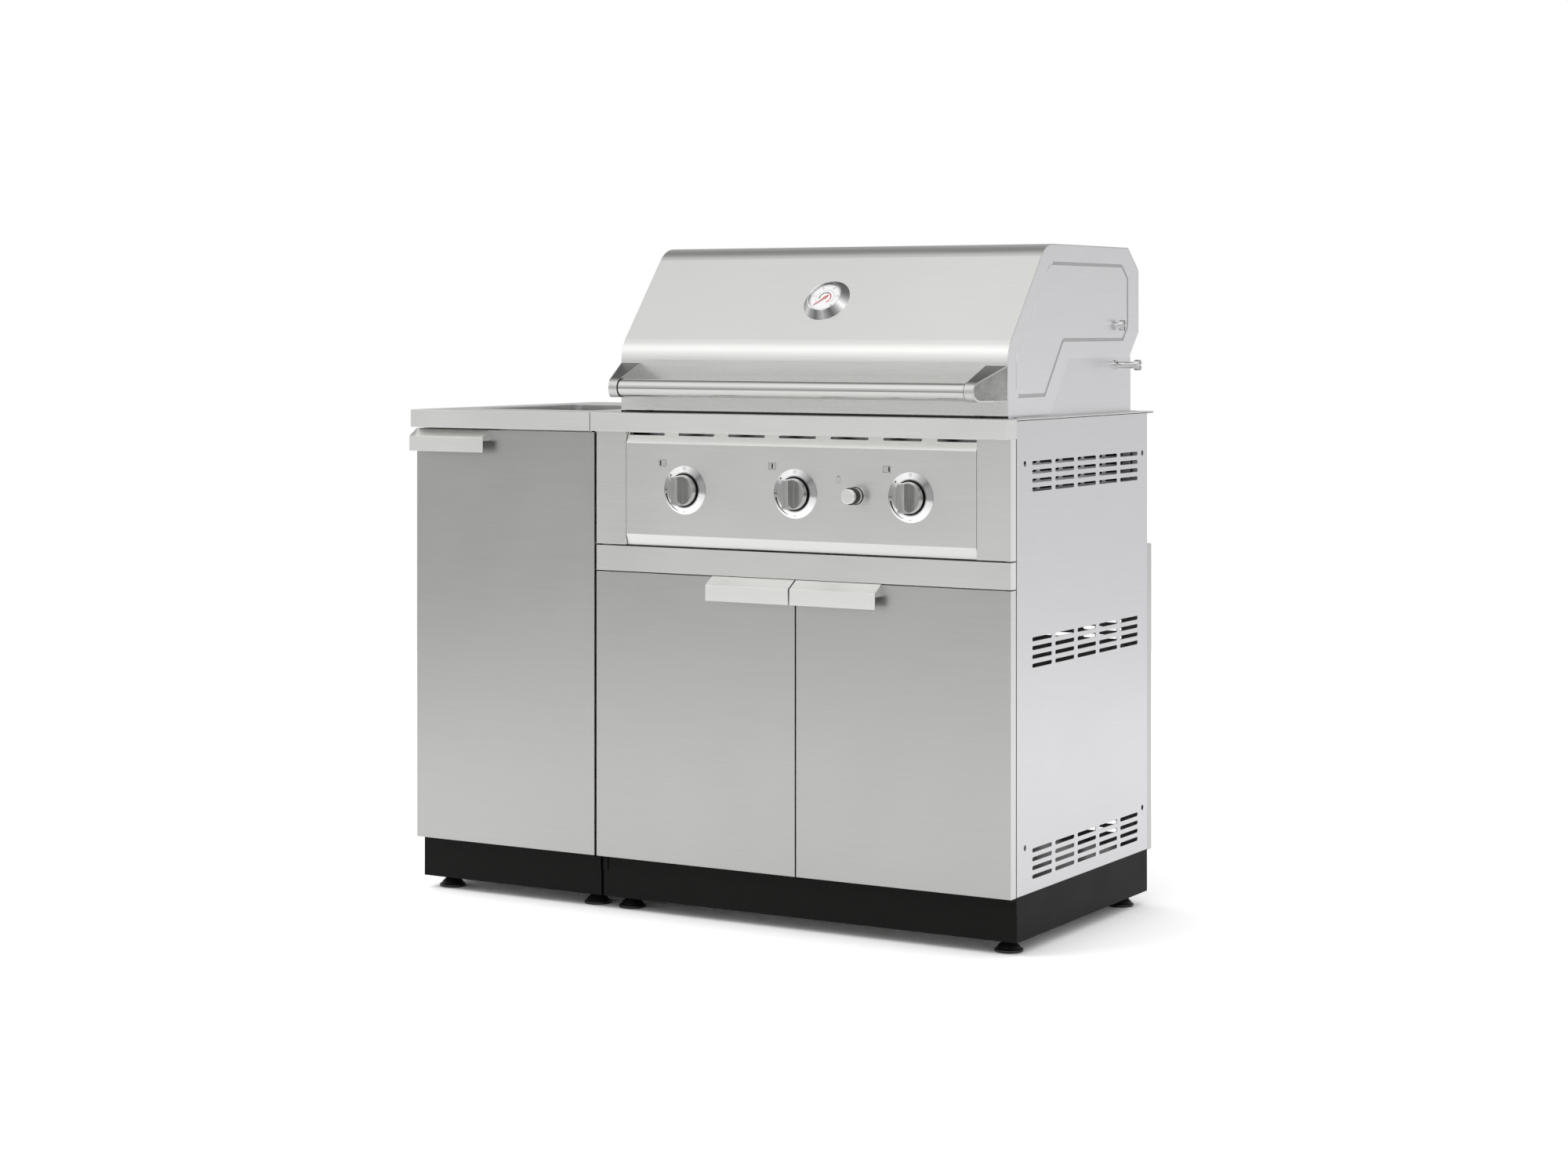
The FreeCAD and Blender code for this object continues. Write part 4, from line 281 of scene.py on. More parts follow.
def brushed_steel(name, colour, rough, length=GRAIN_LENGTH, width=GRAIN_WIDTH, turned=False, spread=0.015,
                  contrast=0.025, front_painted_light=1.0, side_painted_light=1.0, groove=None):
    """Metal ground with a belt: fine lines that stretch highlights, level on sheets and upright on a turned
    piece.

    The real lines are about 0.1 mm wide, too fine to show, so they are drawn as wide as given. The gains are
    painted light: they make the colour of upright faces lighter, and a groove gets painted shade.
    """
    material, tree, place = start_material(name)
    position = place.outputs["Object"]
    if turned:
        scale = (1 / width, 1 / width, 1 / length)
        lines = add(tree, "Mapping", {"Vector": position, "Scale": scale}).outputs[0]
    else:
        lines = level_lines(tree, place, length, width)
    grain = add(tree, "TexNoise", {"Vector": lines, "Scale": 1.0, "Detail": 3.0, "Roughness": 0.6})
    cloud = add(tree, "TexNoise", {"Vector": position, "Scale": 5.0, "Detail": 2.0})
    tone = from_noise(tree, grain, 0.0, 1.0)
    dark = [channel * (1 - contrast) for channel in linear(colour)[:3]] + [1.0]
    light = [min(channel * (1 + contrast), 1.0) for channel in linear(colour)[:3]] + [1.0]
    base = add(tree, "Mix", {0: tone.outputs[0], 6: dark, 7: light}, data_type="RGBA")
    # Painted light on upright faces, times painted shade in the groove
    painted_light = painted_facing_light(tree, place, front_painted_light, side_painted_light)
    if groove:
        shade = groove_painted_shade(tree, place, groove)
        painted_light = add(tree, "Math", {0: painted_light, 1: shade}, operation="MULTIPLY").outputs[0]
    lit = add(tree, "VectorMath", {0: base.outputs[2], "Scale": painted_light}, operation="SCALE")
    fine = from_noise(tree, grain, rough - spread, rough + spread)
    wide = from_noise(tree, cloud, -0.02, 0.02)
    gloss = add(tree, "Math", {0: fine.outputs[0], 1: wide.outputs[0]}, operation="ADD")
    fold = add(tree, "Bevel", {"Radius": FOLD_RADIUS}, samples=4)
    bump = add(tree, "Bump", {"Strength": 0.3, "Distance": 0.00002, "Height": grain.outputs[0],
                              "Normal": fold.outputs[0]})
    shader = add(tree, "BsdfPrincipled", {"Base Color": lit.outputs[0], "Metallic": 1.0,
                                          "Roughness": gloss.outputs[0], "Normal": bump.outputs[0]})
    end_material(tree, shader)
    return material


def speckled(name, dark, light, rough, grain, metallic=0.0, depth=0.0001, strength=0.3, spread=0.06, **more):
    """A surface with an even fine grain: moulded, coated, cast or rolled, as its name says.

    The grain is the real one in metres, or as coarse as it needs to show.
    """
    material, tree, place = start_material(name)
    position = place.outputs["Object"]
    fine = add(tree, "TexNoise", {"Vector": position, "Scale": 1 / grain, "Detail": 3.0, "Roughness": 0.6})
    wide = add(tree, "TexNoise", {"Vector": position, "Scale": 12.0, "Detail": 3.0})
    both = add(tree, "Mix", {0: 0.4, 2: fine.outputs[0], 3: wide.outputs[0]})
    tone = add(tree, "MapRange", {0: both.outputs[0], 1: 0.35, 2: 0.65, 3: 0.0, 4: 1.0})
    base = add(tree, "Mix", {0: tone.outputs[0], 6: linear(dark), 7: linear(light)}, data_type="RGBA")
    gloss = add(tree, "MapRange", {0: both.outputs[0], 1: 0.35, 2: 0.65,
                                   3: rough - spread, 4: rough + spread})
    bump = add(tree, "Bump", {"Strength": strength, "Distance": depth, "Height": fine.outputs[0]})
    shader = add(tree, "BsdfPrincipled", {"Base Color": base.outputs[2], "Metallic": metallic,
                                          "Roughness": gloss.outputs[0], "Normal": bump.outputs[0], **more})
    end_material(tree, shader)
    return material


def turned_metal(name, spokes, rough, middle, across, up, pitch=None):
    """Metal turned on a lathe: fine rings round an axis that draw highlights out into spokes, and spokes of
    light and dark painted into its colour as painted reflection.

    Spokes are angles from the across direction, in degrees, with their greys, which are painted highlights
    and reflection. A pitch repeats the part along X. The real rings are too fine to show and are drawn about
    0.7 mm apart.
    """
    material, tree, place = start_material(name)
    arm = add(tree, "VectorMath", {0: place.outputs["Object"], 1: middle}, operation="SUBTRACT").outputs[0]
    if pitch:
        parts = add(tree, "SeparateXYZ", {0: arm})
        near = add(tree, "Math", {0: parts.outputs[0], 1: pitch / 2, 2: -pitch / 2}, operation="WRAP")
        again = add(tree, "CombineXYZ", {0: near.outputs[0], 1: parts.outputs[1], 2: parts.outputs[2]})
        arm = again.outputs[0]
    run = add(tree, "VectorMath", {0: arm, 1: across}, operation="DOT_PRODUCT").outputs["Value"]
    rise = add(tree, "VectorMath", {0: arm, 1: up}, operation="DOT_PRODUCT").outputs["Value"]
    angle = add(tree, "Math", {0: rise, 1: run}, operation="ARCTAN2")
    # Painted reflection: greys by angle round the axis
    levels = [(degrees, linear("#" + 3 * format(grey, "02X"))[0]) for degrees, grey in spokes]
    painted_reflection = angle_ramp(tree, angle.outputs[0], levels)
    axis = Vector(across).cross(Vector(up))
    along = add(tree, "VectorMath", {0: arm, 1: axis}, operation="CROSS_PRODUCT").outputs[0]
    radius = add(tree, "VectorMath", {0: along}, operation="LENGTH").outputs["Value"]
    rings = add(tree, "TexNoise", {"W": radius, "Scale": 1500.0, "Detail": 2.0}, noise_dimensions="1D")
    wear = from_noise(tree, rings, 0.9, 1.05)
    base = add(tree, "VectorMath", {0: painted_reflection, "Scale": wear.outputs[0]}, operation="SCALE")
    gloss = from_noise(tree, rings, rough - 0.03, rough + 0.03)
    shader = add(tree, "BsdfPrincipled", {"Base Color": base.outputs[0], "Metallic": 1.0,
                                          "Roughness": gloss.outputs[0], "Anisotropic": 0.7,
                                          "Tangent": along})
    end_material(tree, shader)
    return material


def clear_glass():
    """Float glass over the dial: clear, with sharp highlights and a few faint wiping streaks."""
    material, tree, place = start_material("float glass")
    streaks = add(tree, "Mapping", {"Vector": place.outputs["Object"], "Scale": (60, 400, 400)})
    wiping = add(tree, "TexNoise", {"Vector": streaks.outputs[0], "Scale": 1.0, "Detail": 2.0})
    rough = add(tree, "MapRange", {0: wiping.outputs[0], 1: 0.4, 2: 0.7, 3: 0.0, 4: 0.03})
    glossy = add(tree, "BsdfGlossy", {"Color": (1, 1, 1, 1), "Roughness": rough.outputs[0]})
    clear = add(tree, "BsdfTransparent", {"Color": linear("#FEFEFE")})
    fresnel = add(tree, "Fresnel", {"IOR": 1.5})
    behind = add(tree, "NewGeometry").outputs["Backfacing"]
    in_front = add(tree, "Math", {0: 1.0, 1: behind}, operation="SUBTRACT")
    shine = add(tree, "Math", {0: fresnel.outputs[0], 1: in_front.outputs[0]}, operation="MULTIPLY")
    both = add(tree, "MixShader", {0: shine.outputs[0], 1: clear.outputs[0], 2: glossy.outputs[0]})
    end_material(tree, both)
    return material


finishes = {
    # Level ground lines that draw highlights out sideways
    "brushed_stainless": brushed_steel("belt-ground stainless steel", "#DADADC", 0.3),
    # An even rolled skin, dull and without lines
    "plain_stainless": speckled("mill-finish stainless steel", "#C4C4C3", "#D0D0CF", 0.34, 0.0012,
                                metallic=1.0, depth=0.00002),
    # A pressed skin, silky, a little brighter than the rolled one
    "satin_basin_steel": speckled("satin stainless steel", "#CDCDCC", "#D8D8D7", 0.28, 0.0010, metallic=1.0,
                                  depth=0.00002),
    # Fired glass on steel: nearly black, with a wavy soft shine
    "enamelled_steel": speckled("porcelain enamel", "#151516", "#242426", 0.32, 0.0020),
    # Rough sand-cast bars under a dull black coat
    "cast_iron_grate": speckled("matt-enamelled cast iron", "#121212", "#1E1E1E", 0.55, 0.0012, depth=0.0003),
    # Baked powder: a flat black with a very slight orange peel
    "black_painted_steel": speckled("black powder-coated steel", "#0C0C0B", "#121211", 0.5, 0.0009,
                                    depth=0.00008, **{"Specular IOR Level": 0.12}),
    # Fine mould texture, with a grey sheen along edges
    "black_plastic": speckled("moulded black nylon", "#0E0E0E", "#161616", 0.42, 0.0008, depth=0.00005),
    # Dull and dark, without a clear highlight
    "black_rubber": speckled("moulded black rubber", "#101010", "#1A1A1A", 0.7, 0.0009),
    # A mirror with hardly any haze
    "chrome_trim": speckled("chrome plate", "#CACACA", "#D2D2D2", 0.09, 0.004, metallic=1.0, depth=0.00001,
                            spread=0.02),
    # Long faint lines along the bar, with sharp bright and dark bands
    "polished_bar": brushed_steel("polished stainless tube", "#BEBEBC", 0.14, length=0.25, spread=0.03),
    # Glass beads leave it evenly silky
    "cast_aluminium": speckled("bead-blasted cast aluminium", "#B4B4B3", "#CACAC9", 0.36, 0.0009,
                               metallic=1.0, depth=0.0002),
    # Drawn through a die: smooth, a little blue and dull
    "pipe_aluminium": speckled("extruded aluminium", "#C2C3C4", "#CFD0D1", 0.35, 0.0010, metallic=1.0,
                               depth=0.00003),
    # Warm yellow with crisp highlights on cut faces
    "valve_brass": speckled("machined brass", "#C9A250", "#D9B868", 0.28, 0.0008, metallic=1.0,
                            depth=0.00003),
    # Fired white, smooth and glossy
    "dial_enamel": speckled("white stove enamel", "#EFEFEF", "#F6F6F6", 0.3, 0.0030, depth=0.00002),
    # A glossy strong red coat on thin sheet
    "needle_red": speckled("red lacquer", "#C01810", "#CE2418", 0.35, 0.0010, depth=0.00002),
    "gauge_glass": clear_glass(),
}

# Dry ink films without thickness or shine
inks = {
    "black": speckled("black screen-print ink", "#18181A", "#222224", 0.5, 0.0006, depth=0.00001),
    "grey": speckled("grey screen-print ink", "#6A6A6C", "#767678", 0.5, 0.0006, depth=0.00001),
    "red": speckled("red screen-print ink", "#B4262C", "#C22E34", 0.5, 0.0006, depth=0.00001),
}

# Coarse sand grain that sparkles, the brackets' sunk faces
grainy_cast = speckled("sand-cast aluminium", "#6A6A69", "#C4C4C2", 0.36, 0.0014, metallic=0.9, depth=0.0004,
                       strength=0.6)
# Grit leaves it dark and even, the brackets' upper faces
dark_cast = speckled("grit-blasted aluminium", "#4A4A4A", "#6E6E6D", 0.4, 0.0010, metallic=0.9, depth=0.0002)
# Ground steel of the door skins: a copy whose colour is painted darker than the rest as shade, with faces
# turned to the right painted lighter
door_steel = brushed_steel("belt-ground stainless door skins", "#B4B4B2", 0.32, side_painted_light=1.6)
# Ground steel between the doors and the counter, a copy painted lighter than the doors, with faces turned to
# the right painted lighter as light
front_steel = brushed_steel("belt-ground stainless panel and rail", "#D2D2D0", 0.33, side_painted_light=1.3)
# Ground steel of counters and pulls, a copy painted brighter than the rest as light, with wide soft
# highlights along its folds
counter_steel = brushed_steel("belt-ground stainless counters and pulls", "#E6E6E4", 0.33)
# Ground steel that mirrors the ceiling on its slope: a copy with its own darker colour as painted shade, and
# its upright front painted lighter as light
hood_steel = brushed_steel("belt-ground stainless hood", "#C3C3C1", 0.28, front_painted_light=1.5)
# Ground steel of the hood sides, a copy painted lighter than the rest, with painted shade along its pressed
# groove
hood_side_steel = brushed_steel("belt-ground stainless hood sides", "#E7E7E9", 0.3, groove=HOOD_GROOVE)
# Ground steel of the casing, with faces turned to the right painted a little lighter as light, where it shows
# beside the hood
chassis_steel = brushed_steel("belt-ground stainless casing", "#DADADC", 0.3, side_painted_light=1.08)
# Rings cut by the tool draw each highlight out into spokes; their greys are also painted into the colour as
# painted reflection
gauge_metal = turned_metal("turned chromed brass", GAUGE_PAINTED_SPOKES, 0.26, at(*GAUGE_MIDDLE), (1, 0, 0),
                           (0, math.cos(HOOD_SLOPE), math.sin(HOOD_SLOPE)))
bezel_metal = turned_metal("turned stainless bezel", BEZEL_PAINTED_SPOKES, 0.26, at(KNOB_X[1], 0, KNOB_Z), (1, 0, 0),
                           (0, 0, 1), KNOB_SPACING)
# Upright strokes across the grip, with strong light and dark
knob_steel = brushed_steel("brushed chromed zinc", "#B8B8B6", 0.22, length=0.05, width=0.0016, turned=True,
                           spread=0.03, contrast=0.1)

# Endings of nodes whose own finish takes the place of their slot's
NODE_FINISHES = {
    "_knob": knob_steel,
    "_door_shell": door_steel,
    "_door_handle": counter_steel,
    "_counter": counter_steel,
    "igniter_button": counter_steel,
    "front_rail": front_steel,
    "front_stiles": front_steel,
    "control_panel": front_steel,
    "gauge_case": gauge_metal,
    "knob_bezels": bezel_metal,
    "door_hinge_pins": finishes["black_painted_steel"],
    "hood_skin": hood_steel,
    "hood_sides": hood_side_steel,
    "grill_chassis": chassis_steel,
}

for part in record["subparts"]:
    own = [finish for ending, finish in NODE_FINISHES.items() if part["node"].endswith(ending)]
    materials = nodes[part["node"]].data.materials
    materials.clear()
    materials.append(own[0] if own else finishes[part["material_slot"]])


# Shapes
def facing(origin, right, up):
    """The place of a flat drawing, whose X runs right, Y runs up and Z comes out of the face it lies on."""
    right, up = Vector(right).normalized(), Vector(up).normalized()
    turn = Matrix((right, up, right.cross(up))).transposed().to_4x4()
    return Matrix.Translation(origin) @ turn @ Matrix.Scale(MM, 4)


def on_front(x, z, y=0):
    """The place of a drawing that faces the front, on the plane of the doors' fronts or behind it."""
    return facing(at(x, y, z), (1, 0, 0), (0, 0, 1))


def on_level(x, y, z):
    """The place of a drawing that faces up."""
    return Matrix.Translation(at(x, y, z)) @ Matrix.Scale(MM, 4)


def on_dial():
    """The place of a drawing on the hood's slope, round the gauge's middle."""
    return facing(at(*GAUGE_MIDDLE), (1, 0, 0), (0, math.cos(HOOD_SLOPE), math.sin(HOOD_SLOPE)))


def plate(shape, points, low, high):
    """A flat plate with straight sides, between two levels."""
    bottom = [shape.verts.new((x, y, low)) for x, y in points]
    top = [shape.verts.new((x, y, high)) for x, y in points]
    shape.faces.new(bottom[::-1])
    shape.faces.new(top)
    for i in range(len(points)):
        j = (i + 1) % len(points)
        shape.faces.new((bottom[i], bottom[j], top[j], top[i]))


def frame_of(shape, outlines):
    """A closed frame: outlines with their levels, each joined to the next and the last to the first."""
    loops = [[shape.verts.new((x, y, level)) for x, y in points] for points, level in outlines]
    for low, high in zip(loops, loops[1:] + loops[:1]):
        for i in range(len(low)):
            j = (i + 1) % len(low)
            shape.faces.new((low[i], low[j], high[j], high[i]))


def ring_points(radius, start, end, steps, centre=(0, 0)):
    """Points round an arc, with its angles in degrees."""
    angles = [math.radians(start + (end - start) * i / steps) for i in range(steps + 1)]
    return [(centre[0] + radius * math.cos(a), centre[1] + radius * math.sin(a)) for a in angles]


def lathe(shape, profile, steps=32, centre=(0, 0), closed=True):
    """A turned form: radius and level pairs, swept round the Z axis. An open profile ends on the axis."""
    rings = []
    for radius, level in profile:
        if radius == 0:
            rings.append([shape.verts.new((centre[0], centre[1], level))] * steps)
        else:
            circle = ring_points(radius, 0, 360 - 360 / steps, steps - 1, centre)
            rings.append([shape.verts.new((x, y, level)) for x, y in circle])
    pairs = list(zip(rings, rings[1:])) + ([(rings[-1], rings[0])] if closed else [])
    for low, high in pairs:
        for i in range(steps):
            j = (i + 1) % steps
            corners = []
            for corner in (low[i], low[j], high[j], high[i]):
                if corner not in corners:
                    corners.append(corner)
            shape.faces.new(corners)


def flat_ring(shape, inner, outer, low, high, steps=48, centre=(0, 0)):
    """A flat washer between two levels."""
    lathe(shape, [(inner, low), (outer, low), (outer, high), (inner, high)], steps, centre)


def disc(shape, radius, high, steps, centre):
    """A flat round dot from level zero up."""
    lathe(shape, [(0, 0), (radius, 0), (radius, high), (0, high)], steps, centre, closed=False)


def arc_band(shape, inner, outer, start, end, low, high, steps=24):
    """A flat curved band from one angle to another. Its radii are given at its start and at its end."""
    edge = []
    for (first, last), way in ((outer, 1), (inner, -1)):
        for i in range(steps + 1)[::way]:
            share = i / steps
            angle = math.radians(start + (end - start) * share)
            radius = first + (last - first) * share
            edge.append((radius * math.cos(angle), radius * math.sin(angle)))
    plate(shape, edge, low, high)


def rectangle(x, y, width, height):
    """Corners of a rectangle round its middle."""
    w, h = width / 2, height / 2
    return [(x - w, y - h), (x + w, y - h), (x + w, y + h), (x - w, y + h)]


def outline(shape, x, y, width, height, line, low, high):
    """A drawn rectangle with a line of a given width."""
    for dx, dy, w, h in ((0, (height - line) / 2, width, line), (0, (line - height) / 2, width, line),
                         ((width - line) / 2, 0, line, height - 2 * line),
                         ((line - width) / 2, 0, line, height - 2 * line)):
        plate(shape, rectangle(x + dx, y + dy, w, h), low, high)


def numeral(shape, text, size, middle, low):
    """Plain raised figures round a point."""
    curve = bpy.data.curves.new("figures", "FONT")
    curve.body = text
    curve.size = size
    curve.align_x = "CENTER"
    curve.align_y = "CENTER"
    curve.extrude = 0.03
    curve.resolution_u = 3
    holder = bpy.data.objects.new("figures", curve)
    mesh = bpy.data.meshes.new_from_object(holder)
    mesh.transform(Matrix.Translation((middle[0], middle[1], low + curve.extrude)))
    shape.from_mesh(mesh)
    bpy.data.objects.remove(holder)
    bpy.data.curves.remove(curve)
    bpy.data.meshes.remove(mesh)


def finish_piece(name, mesh, material, body):
    """A piece in the scene with its finish, riding on a body."""
    if material:
        mesh.materials.clear()
        mesh.materials.append(material)
    obj = bpy.data.objects.new(name, mesh)
    bpy.context.scene.collection.objects.link(obj)
    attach(obj, body)
    return obj


def piece(name, drawings, material, body, smooth=None):
    """A piece from its drawings and their places. Edges flatter than the smooth angle are shaded round."""
    whole = join_shapes(drawings)
    bmesh.ops.remove_doubles(whole, verts=whole.verts, dist=0.000001)
    bmesh.ops.recalc_face_normals(whole, faces=whole.faces)
    mesh = bpy.data.meshes.new(name)
    whole.to_mesh(mesh)
    whole.free()
    if smooth:
        mesh.shade_smooth()
        mesh.set_sharp_from_angle(angle=math.radians(smooth))
    return finish_piece(name, mesh, material, body)


def join_shapes(drawings):
    """One drawing from several, each put in its own place first."""
    whole = bmesh.new()
    for shape, place in drawings:
        shape.transform(place)
        mesh = bpy.data.meshes.new("part")
        shape.to_mesh(mesh)
        shape.free()
        whole.from_mesh(mesh)
        bpy.data.meshes.remove(mesh)
    return whole


# Geometry node trees
def tree_with(name, sockets):
    """An empty geometry tree with named inputs, and its input and output nodes."""
    tree = bpy.data.node_groups.new(name, "GeometryNodeTree")
    tree.interface.new_socket("Geometry", in_out="INPUT", socket_type="NodeSocketGeometry")
    for title, kind in sockets:
        tree.interface.new_socket(title, in_out="INPUT", socket_type=kind)
    tree.interface.new_socket("Geometry", in_out="OUTPUT", socket_type="NodeSocketGeometry")
    return tree, tree.nodes.new("NodeGroupInput"), tree.nodes.new("NodeGroupOutput")


def end_tree(tree, start, end, made):
    """Real geometry with its finish, as the tree's result."""
    real = add(tree, "RealizeInstances", {"Geometry": made.outputs[0]})
    painted = add(tree, "SetMaterial", {"Geometry": real.outputs[0], "Material": start.outputs["Finish"]})
    tree.links.new(painted.outputs[0], end.inputs[0])
    return tree


def fastener_tree():
    """Puts one small part on every marked place, turned the same way."""
    sockets = [("Part", "NodeSocketObject"), ("Turn", "NodeSocketRotation"), ("Finish", "NodeSocketMaterial")]
    tree, start, end = tree_with("repeated_part", sockets)
    part = add(tree, "ObjectInfo", {"Object": start.outputs["Part"]})
    copies = add(tree, "InstanceOnPoints", {"Points": start.outputs["Geometry"],
                                            "Instance": part.outputs["Geometry"],
                                            "Rotation": start.outputs["Turn"]})
    return end_tree(tree, start, end, copies)


def wire_tree():
    """Turns every line of a drawing into round wire."""
    sockets = [("Radius", "NodeSocketFloat"), ("Finish", "NodeSocketMaterial")]
    tree, start, end = tree_with("round_wire", sockets)
    line = add(tree, "MeshToCurve", {"Mesh": start.outputs["Geometry"]})
    circle = add(tree, "CurvePrimitiveCircle", {"Resolution": 10, "Radius": start.outputs["Radius"]})
    wire = add(tree, "CurveToMesh", {"Curve": line.outputs[0], "Profile Curve": circle.outputs[0],
                                     "Fill Caps": True})
    round_wire = add(tree, "SetShadeSmooth", {"Geometry": wire.outputs[0]})
    return end_tree(tree, start, end, round_wire)


def grow(name, tree, mesh, values, body):
    """Runs a tree on a drawing and keeps the result as a plain piece."""
    source = bpy.data.objects.new(name + "_marks", mesh)
    bpy.context.scene.collection.objects.link(source)
    modifier = source.modifiers.new(tree.name, "NODES")
    modifier.node_group = tree
    for socket in tree.interface.items_tree:
        if socket.name in values:
            modifier[socket.identifier] = values[socket.name]
    made = source.evaluated_get(bpy.context.evaluated_depsgraph_get())
    result = bpy.data.meshes.new_from_object(made)
    result.name = name
    source.modifiers.remove(modifier)
    bpy.data.objects.remove(source)
    return finish_piece(name, result, None, body)


def repeat_part(name, shape, places, turn, material, body):
    """The same small part, drawn facing up in millimetres, at a list of places."""
    shape.transform(Matrix.Scale(MM, 4))
    bmesh.ops.recalc_face_normals(shape, faces=shape.faces)
    mesh = bpy.data.meshes.new(name + "_part")
    shape.to_mesh(mesh)
    shape.free()
    part = bpy.data.objects.new(name + "_part", mesh)
    bpy.context.scene.collection.objects.link(part)
    marks = bpy.data.meshes.new(name + "_marks")
    marks.from_pydata(places, [], [])
    values = {"Part": part, "Turn": [math.radians(angle) for angle in turn], "Finish": material}
    made = grow(name, FASTENERS, marks, values, body)
    bpy.data.objects.remove(part)
    return made


FASTENERS = fastener_tree()
WIRES = wire_tree()

# Turns in degrees that point a part, drawn facing up, another way
FACING_UP = (0, 0, 0)
TO_BACK = (-90, 0, 0)
TO_RIGHT = (0, 90, 0)
TO_LEFT = (0, -90, 0)


# Gauge
PRINT_LOW = DIAL_LEVEL + 0.02
PRINT_HIGH = DIAL_LEVEL + 0.09
RIM_LINE = (28.9, 29.3)
SCALE_INNER = (17.6, 17.6)
SCALE_OUTER = (17.9, 17.9)
SCALE_START = 225
SCALE_SWEEP = 270
SCALE_STEPS = 30
TICKS_BETWEEN = 6
TICK_FOOT = 18.0
TICK_HALF = 0.16
LONG_TICK = 3.0
SHORT_TICK = 1.6
SCALE_FIGURES = ("50", "100", "150", "200", "250", "300")
FIGURE_SIZE = 3.6
FIGURE_RADIUS = 24.6
RANGE_INNER = (10.6, 10.6)
RANGE_OUTER = (12.8, 12.8)
BLACK_RANGE = (190, 62)
RED_RANGE = (60, -62)


def gauge_print():
    """Rings, ticks, figures and the two coloured arcs on the dial."""
    low, high = PRINT_LOW, PRINT_HIGH
    grey = bmesh.new()
    flat_ring(grey, *RIM_LINE, low, high)
    arc_band(grey, SCALE_INNER, SCALE_OUTER, SCALE_START, SCALE_START - SCALE_SWEEP, low, high, 54)
    for step in range(SCALE_STEPS + 1):
        angle = math.radians(SCALE_START - SCALE_SWEEP * step / SCALE_STEPS)
        cos, sin = math.cos(angle), math.sin(angle)
        tip = TICK_FOOT + (LONG_TICK if step % TICKS_BETWEEN == 0 else SHORT_TICK)
        corners = ((TICK_FOOT, -TICK_HALF), (tip, -TICK_HALF), (tip, TICK_HALF), (TICK_FOOT, TICK_HALF))
        plate(grey, [(cos * r - sin * side, sin * r + cos * side) for r, side in corners], low, high)
    piece("gauge_scale", [(grey, on_dial())], inks["grey"], "hood")
    black = bmesh.new()
    arc_band(black, RANGE_INNER, RANGE_OUTER, *BLACK_RANGE, low, high, 40)
    for step, text in enumerate(SCALE_FIGURES):
        angle = math.radians(SCALE_START - SCALE_SWEEP * step / (len(SCALE_FIGURES) - 1))
        middle = (FIGURE_RADIUS * math.cos(angle), FIGURE_RADIUS * math.sin(angle))
        numeral(black, text, FIGURE_SIZE, middle, low)
    piece("gauge_figures", [(black, on_dial())], inks["black"], "hood")
    red = bmesh.new()
    arc_band(red, RANGE_INNER, RANGE_OUTER, *RED_RANGE, low, high, 40)
    piece("gauge_red_arc", [(red, on_dial())], inks["red"], "hood")


# Control panel
HIGH_ANGLE = 137
HIGH_DOT = 1.7
LOW_ANGLE = 270
LOW_DOT = 0.9
LIGHTING_BAR = (5.6, 1.5)
TAPER_ANGLES = (190, 250)
TAPER_HALVES = (1.9, 0.3)
OFF_RING = (2.2, 2.8)
ICON_LOW = 0.01
ICON_OFFSET = (-47.5, 48)
ICON_SIZE = (15.7, 12.3)
ICON_LINE = 0.8
CELL_SPACING = 4.7
LIT_CELL = (3.2, 8.8)
UNLIT_CELL = (2.6, 8.6)
CELL_LINE = 0.35
BATTERY_OFFSET = (-36, 28)
BATTERY_SIZE = (8.0, 11.0)
BATTERY_LINE = 0.5

# The battery's cap and its two poles: height of the middle, then width and height
BATTERY_PARTS = ((5.4, 3.2, 1.8), (1.6, 3.0, 0.5), (-3.4, 3.0, 0.5))


def bezel_marks():
    """Print on each knob's bezel: off, lighting, high and the taper down to low."""
    black, grey = [], []
    inner = [MARK_RADIUS - half for half in TAPER_HALVES]
    outer = [MARK_RADIUS + half for half in TAPER_HALVES]
    for x in KNOB_X:
        marks = bmesh.new()
        high, low = ring_points(MARK_RADIUS, HIGH_ANGLE, LOW_ANGLE, 1)
        disc(marks, HIGH_DOT, MARK_THICKNESS, 16, high)
        disc(marks, LOW_DOT, MARK_THICKNESS, 12, low)
        plate(marks, rectangle(-MARK_RADIUS, 0, *LIGHTING_BAR), 0, MARK_THICKNESS)
        arc_band(marks, inner, outer, *TAPER_ANGLES, 0, MARK_THICKNESS)
        off = bmesh.new()
        flat_ring(off, *OFF_RING, 0, MARK_THICKNESS, 24, (0, MARK_RADIUS))
        for shape in (marks, off):
            for vert in shape.verts:
                radius = math.hypot(vert.co.x, vert.co.y)
                vert.co.z += BEZEL_EDGE + MARK_LIFT + (BEZEL_RADIUS - radius) * BEZEL_RISE
        black.append((marks, on_front(x, KNOB_Z)))
        grey.append((off, on_front(x, KNOB_Z)))
    piece("bezel_marks", black, inks["black"], "cabinet")
    piece("bezel_off_marks", grey, inks["grey"], "cabinet")


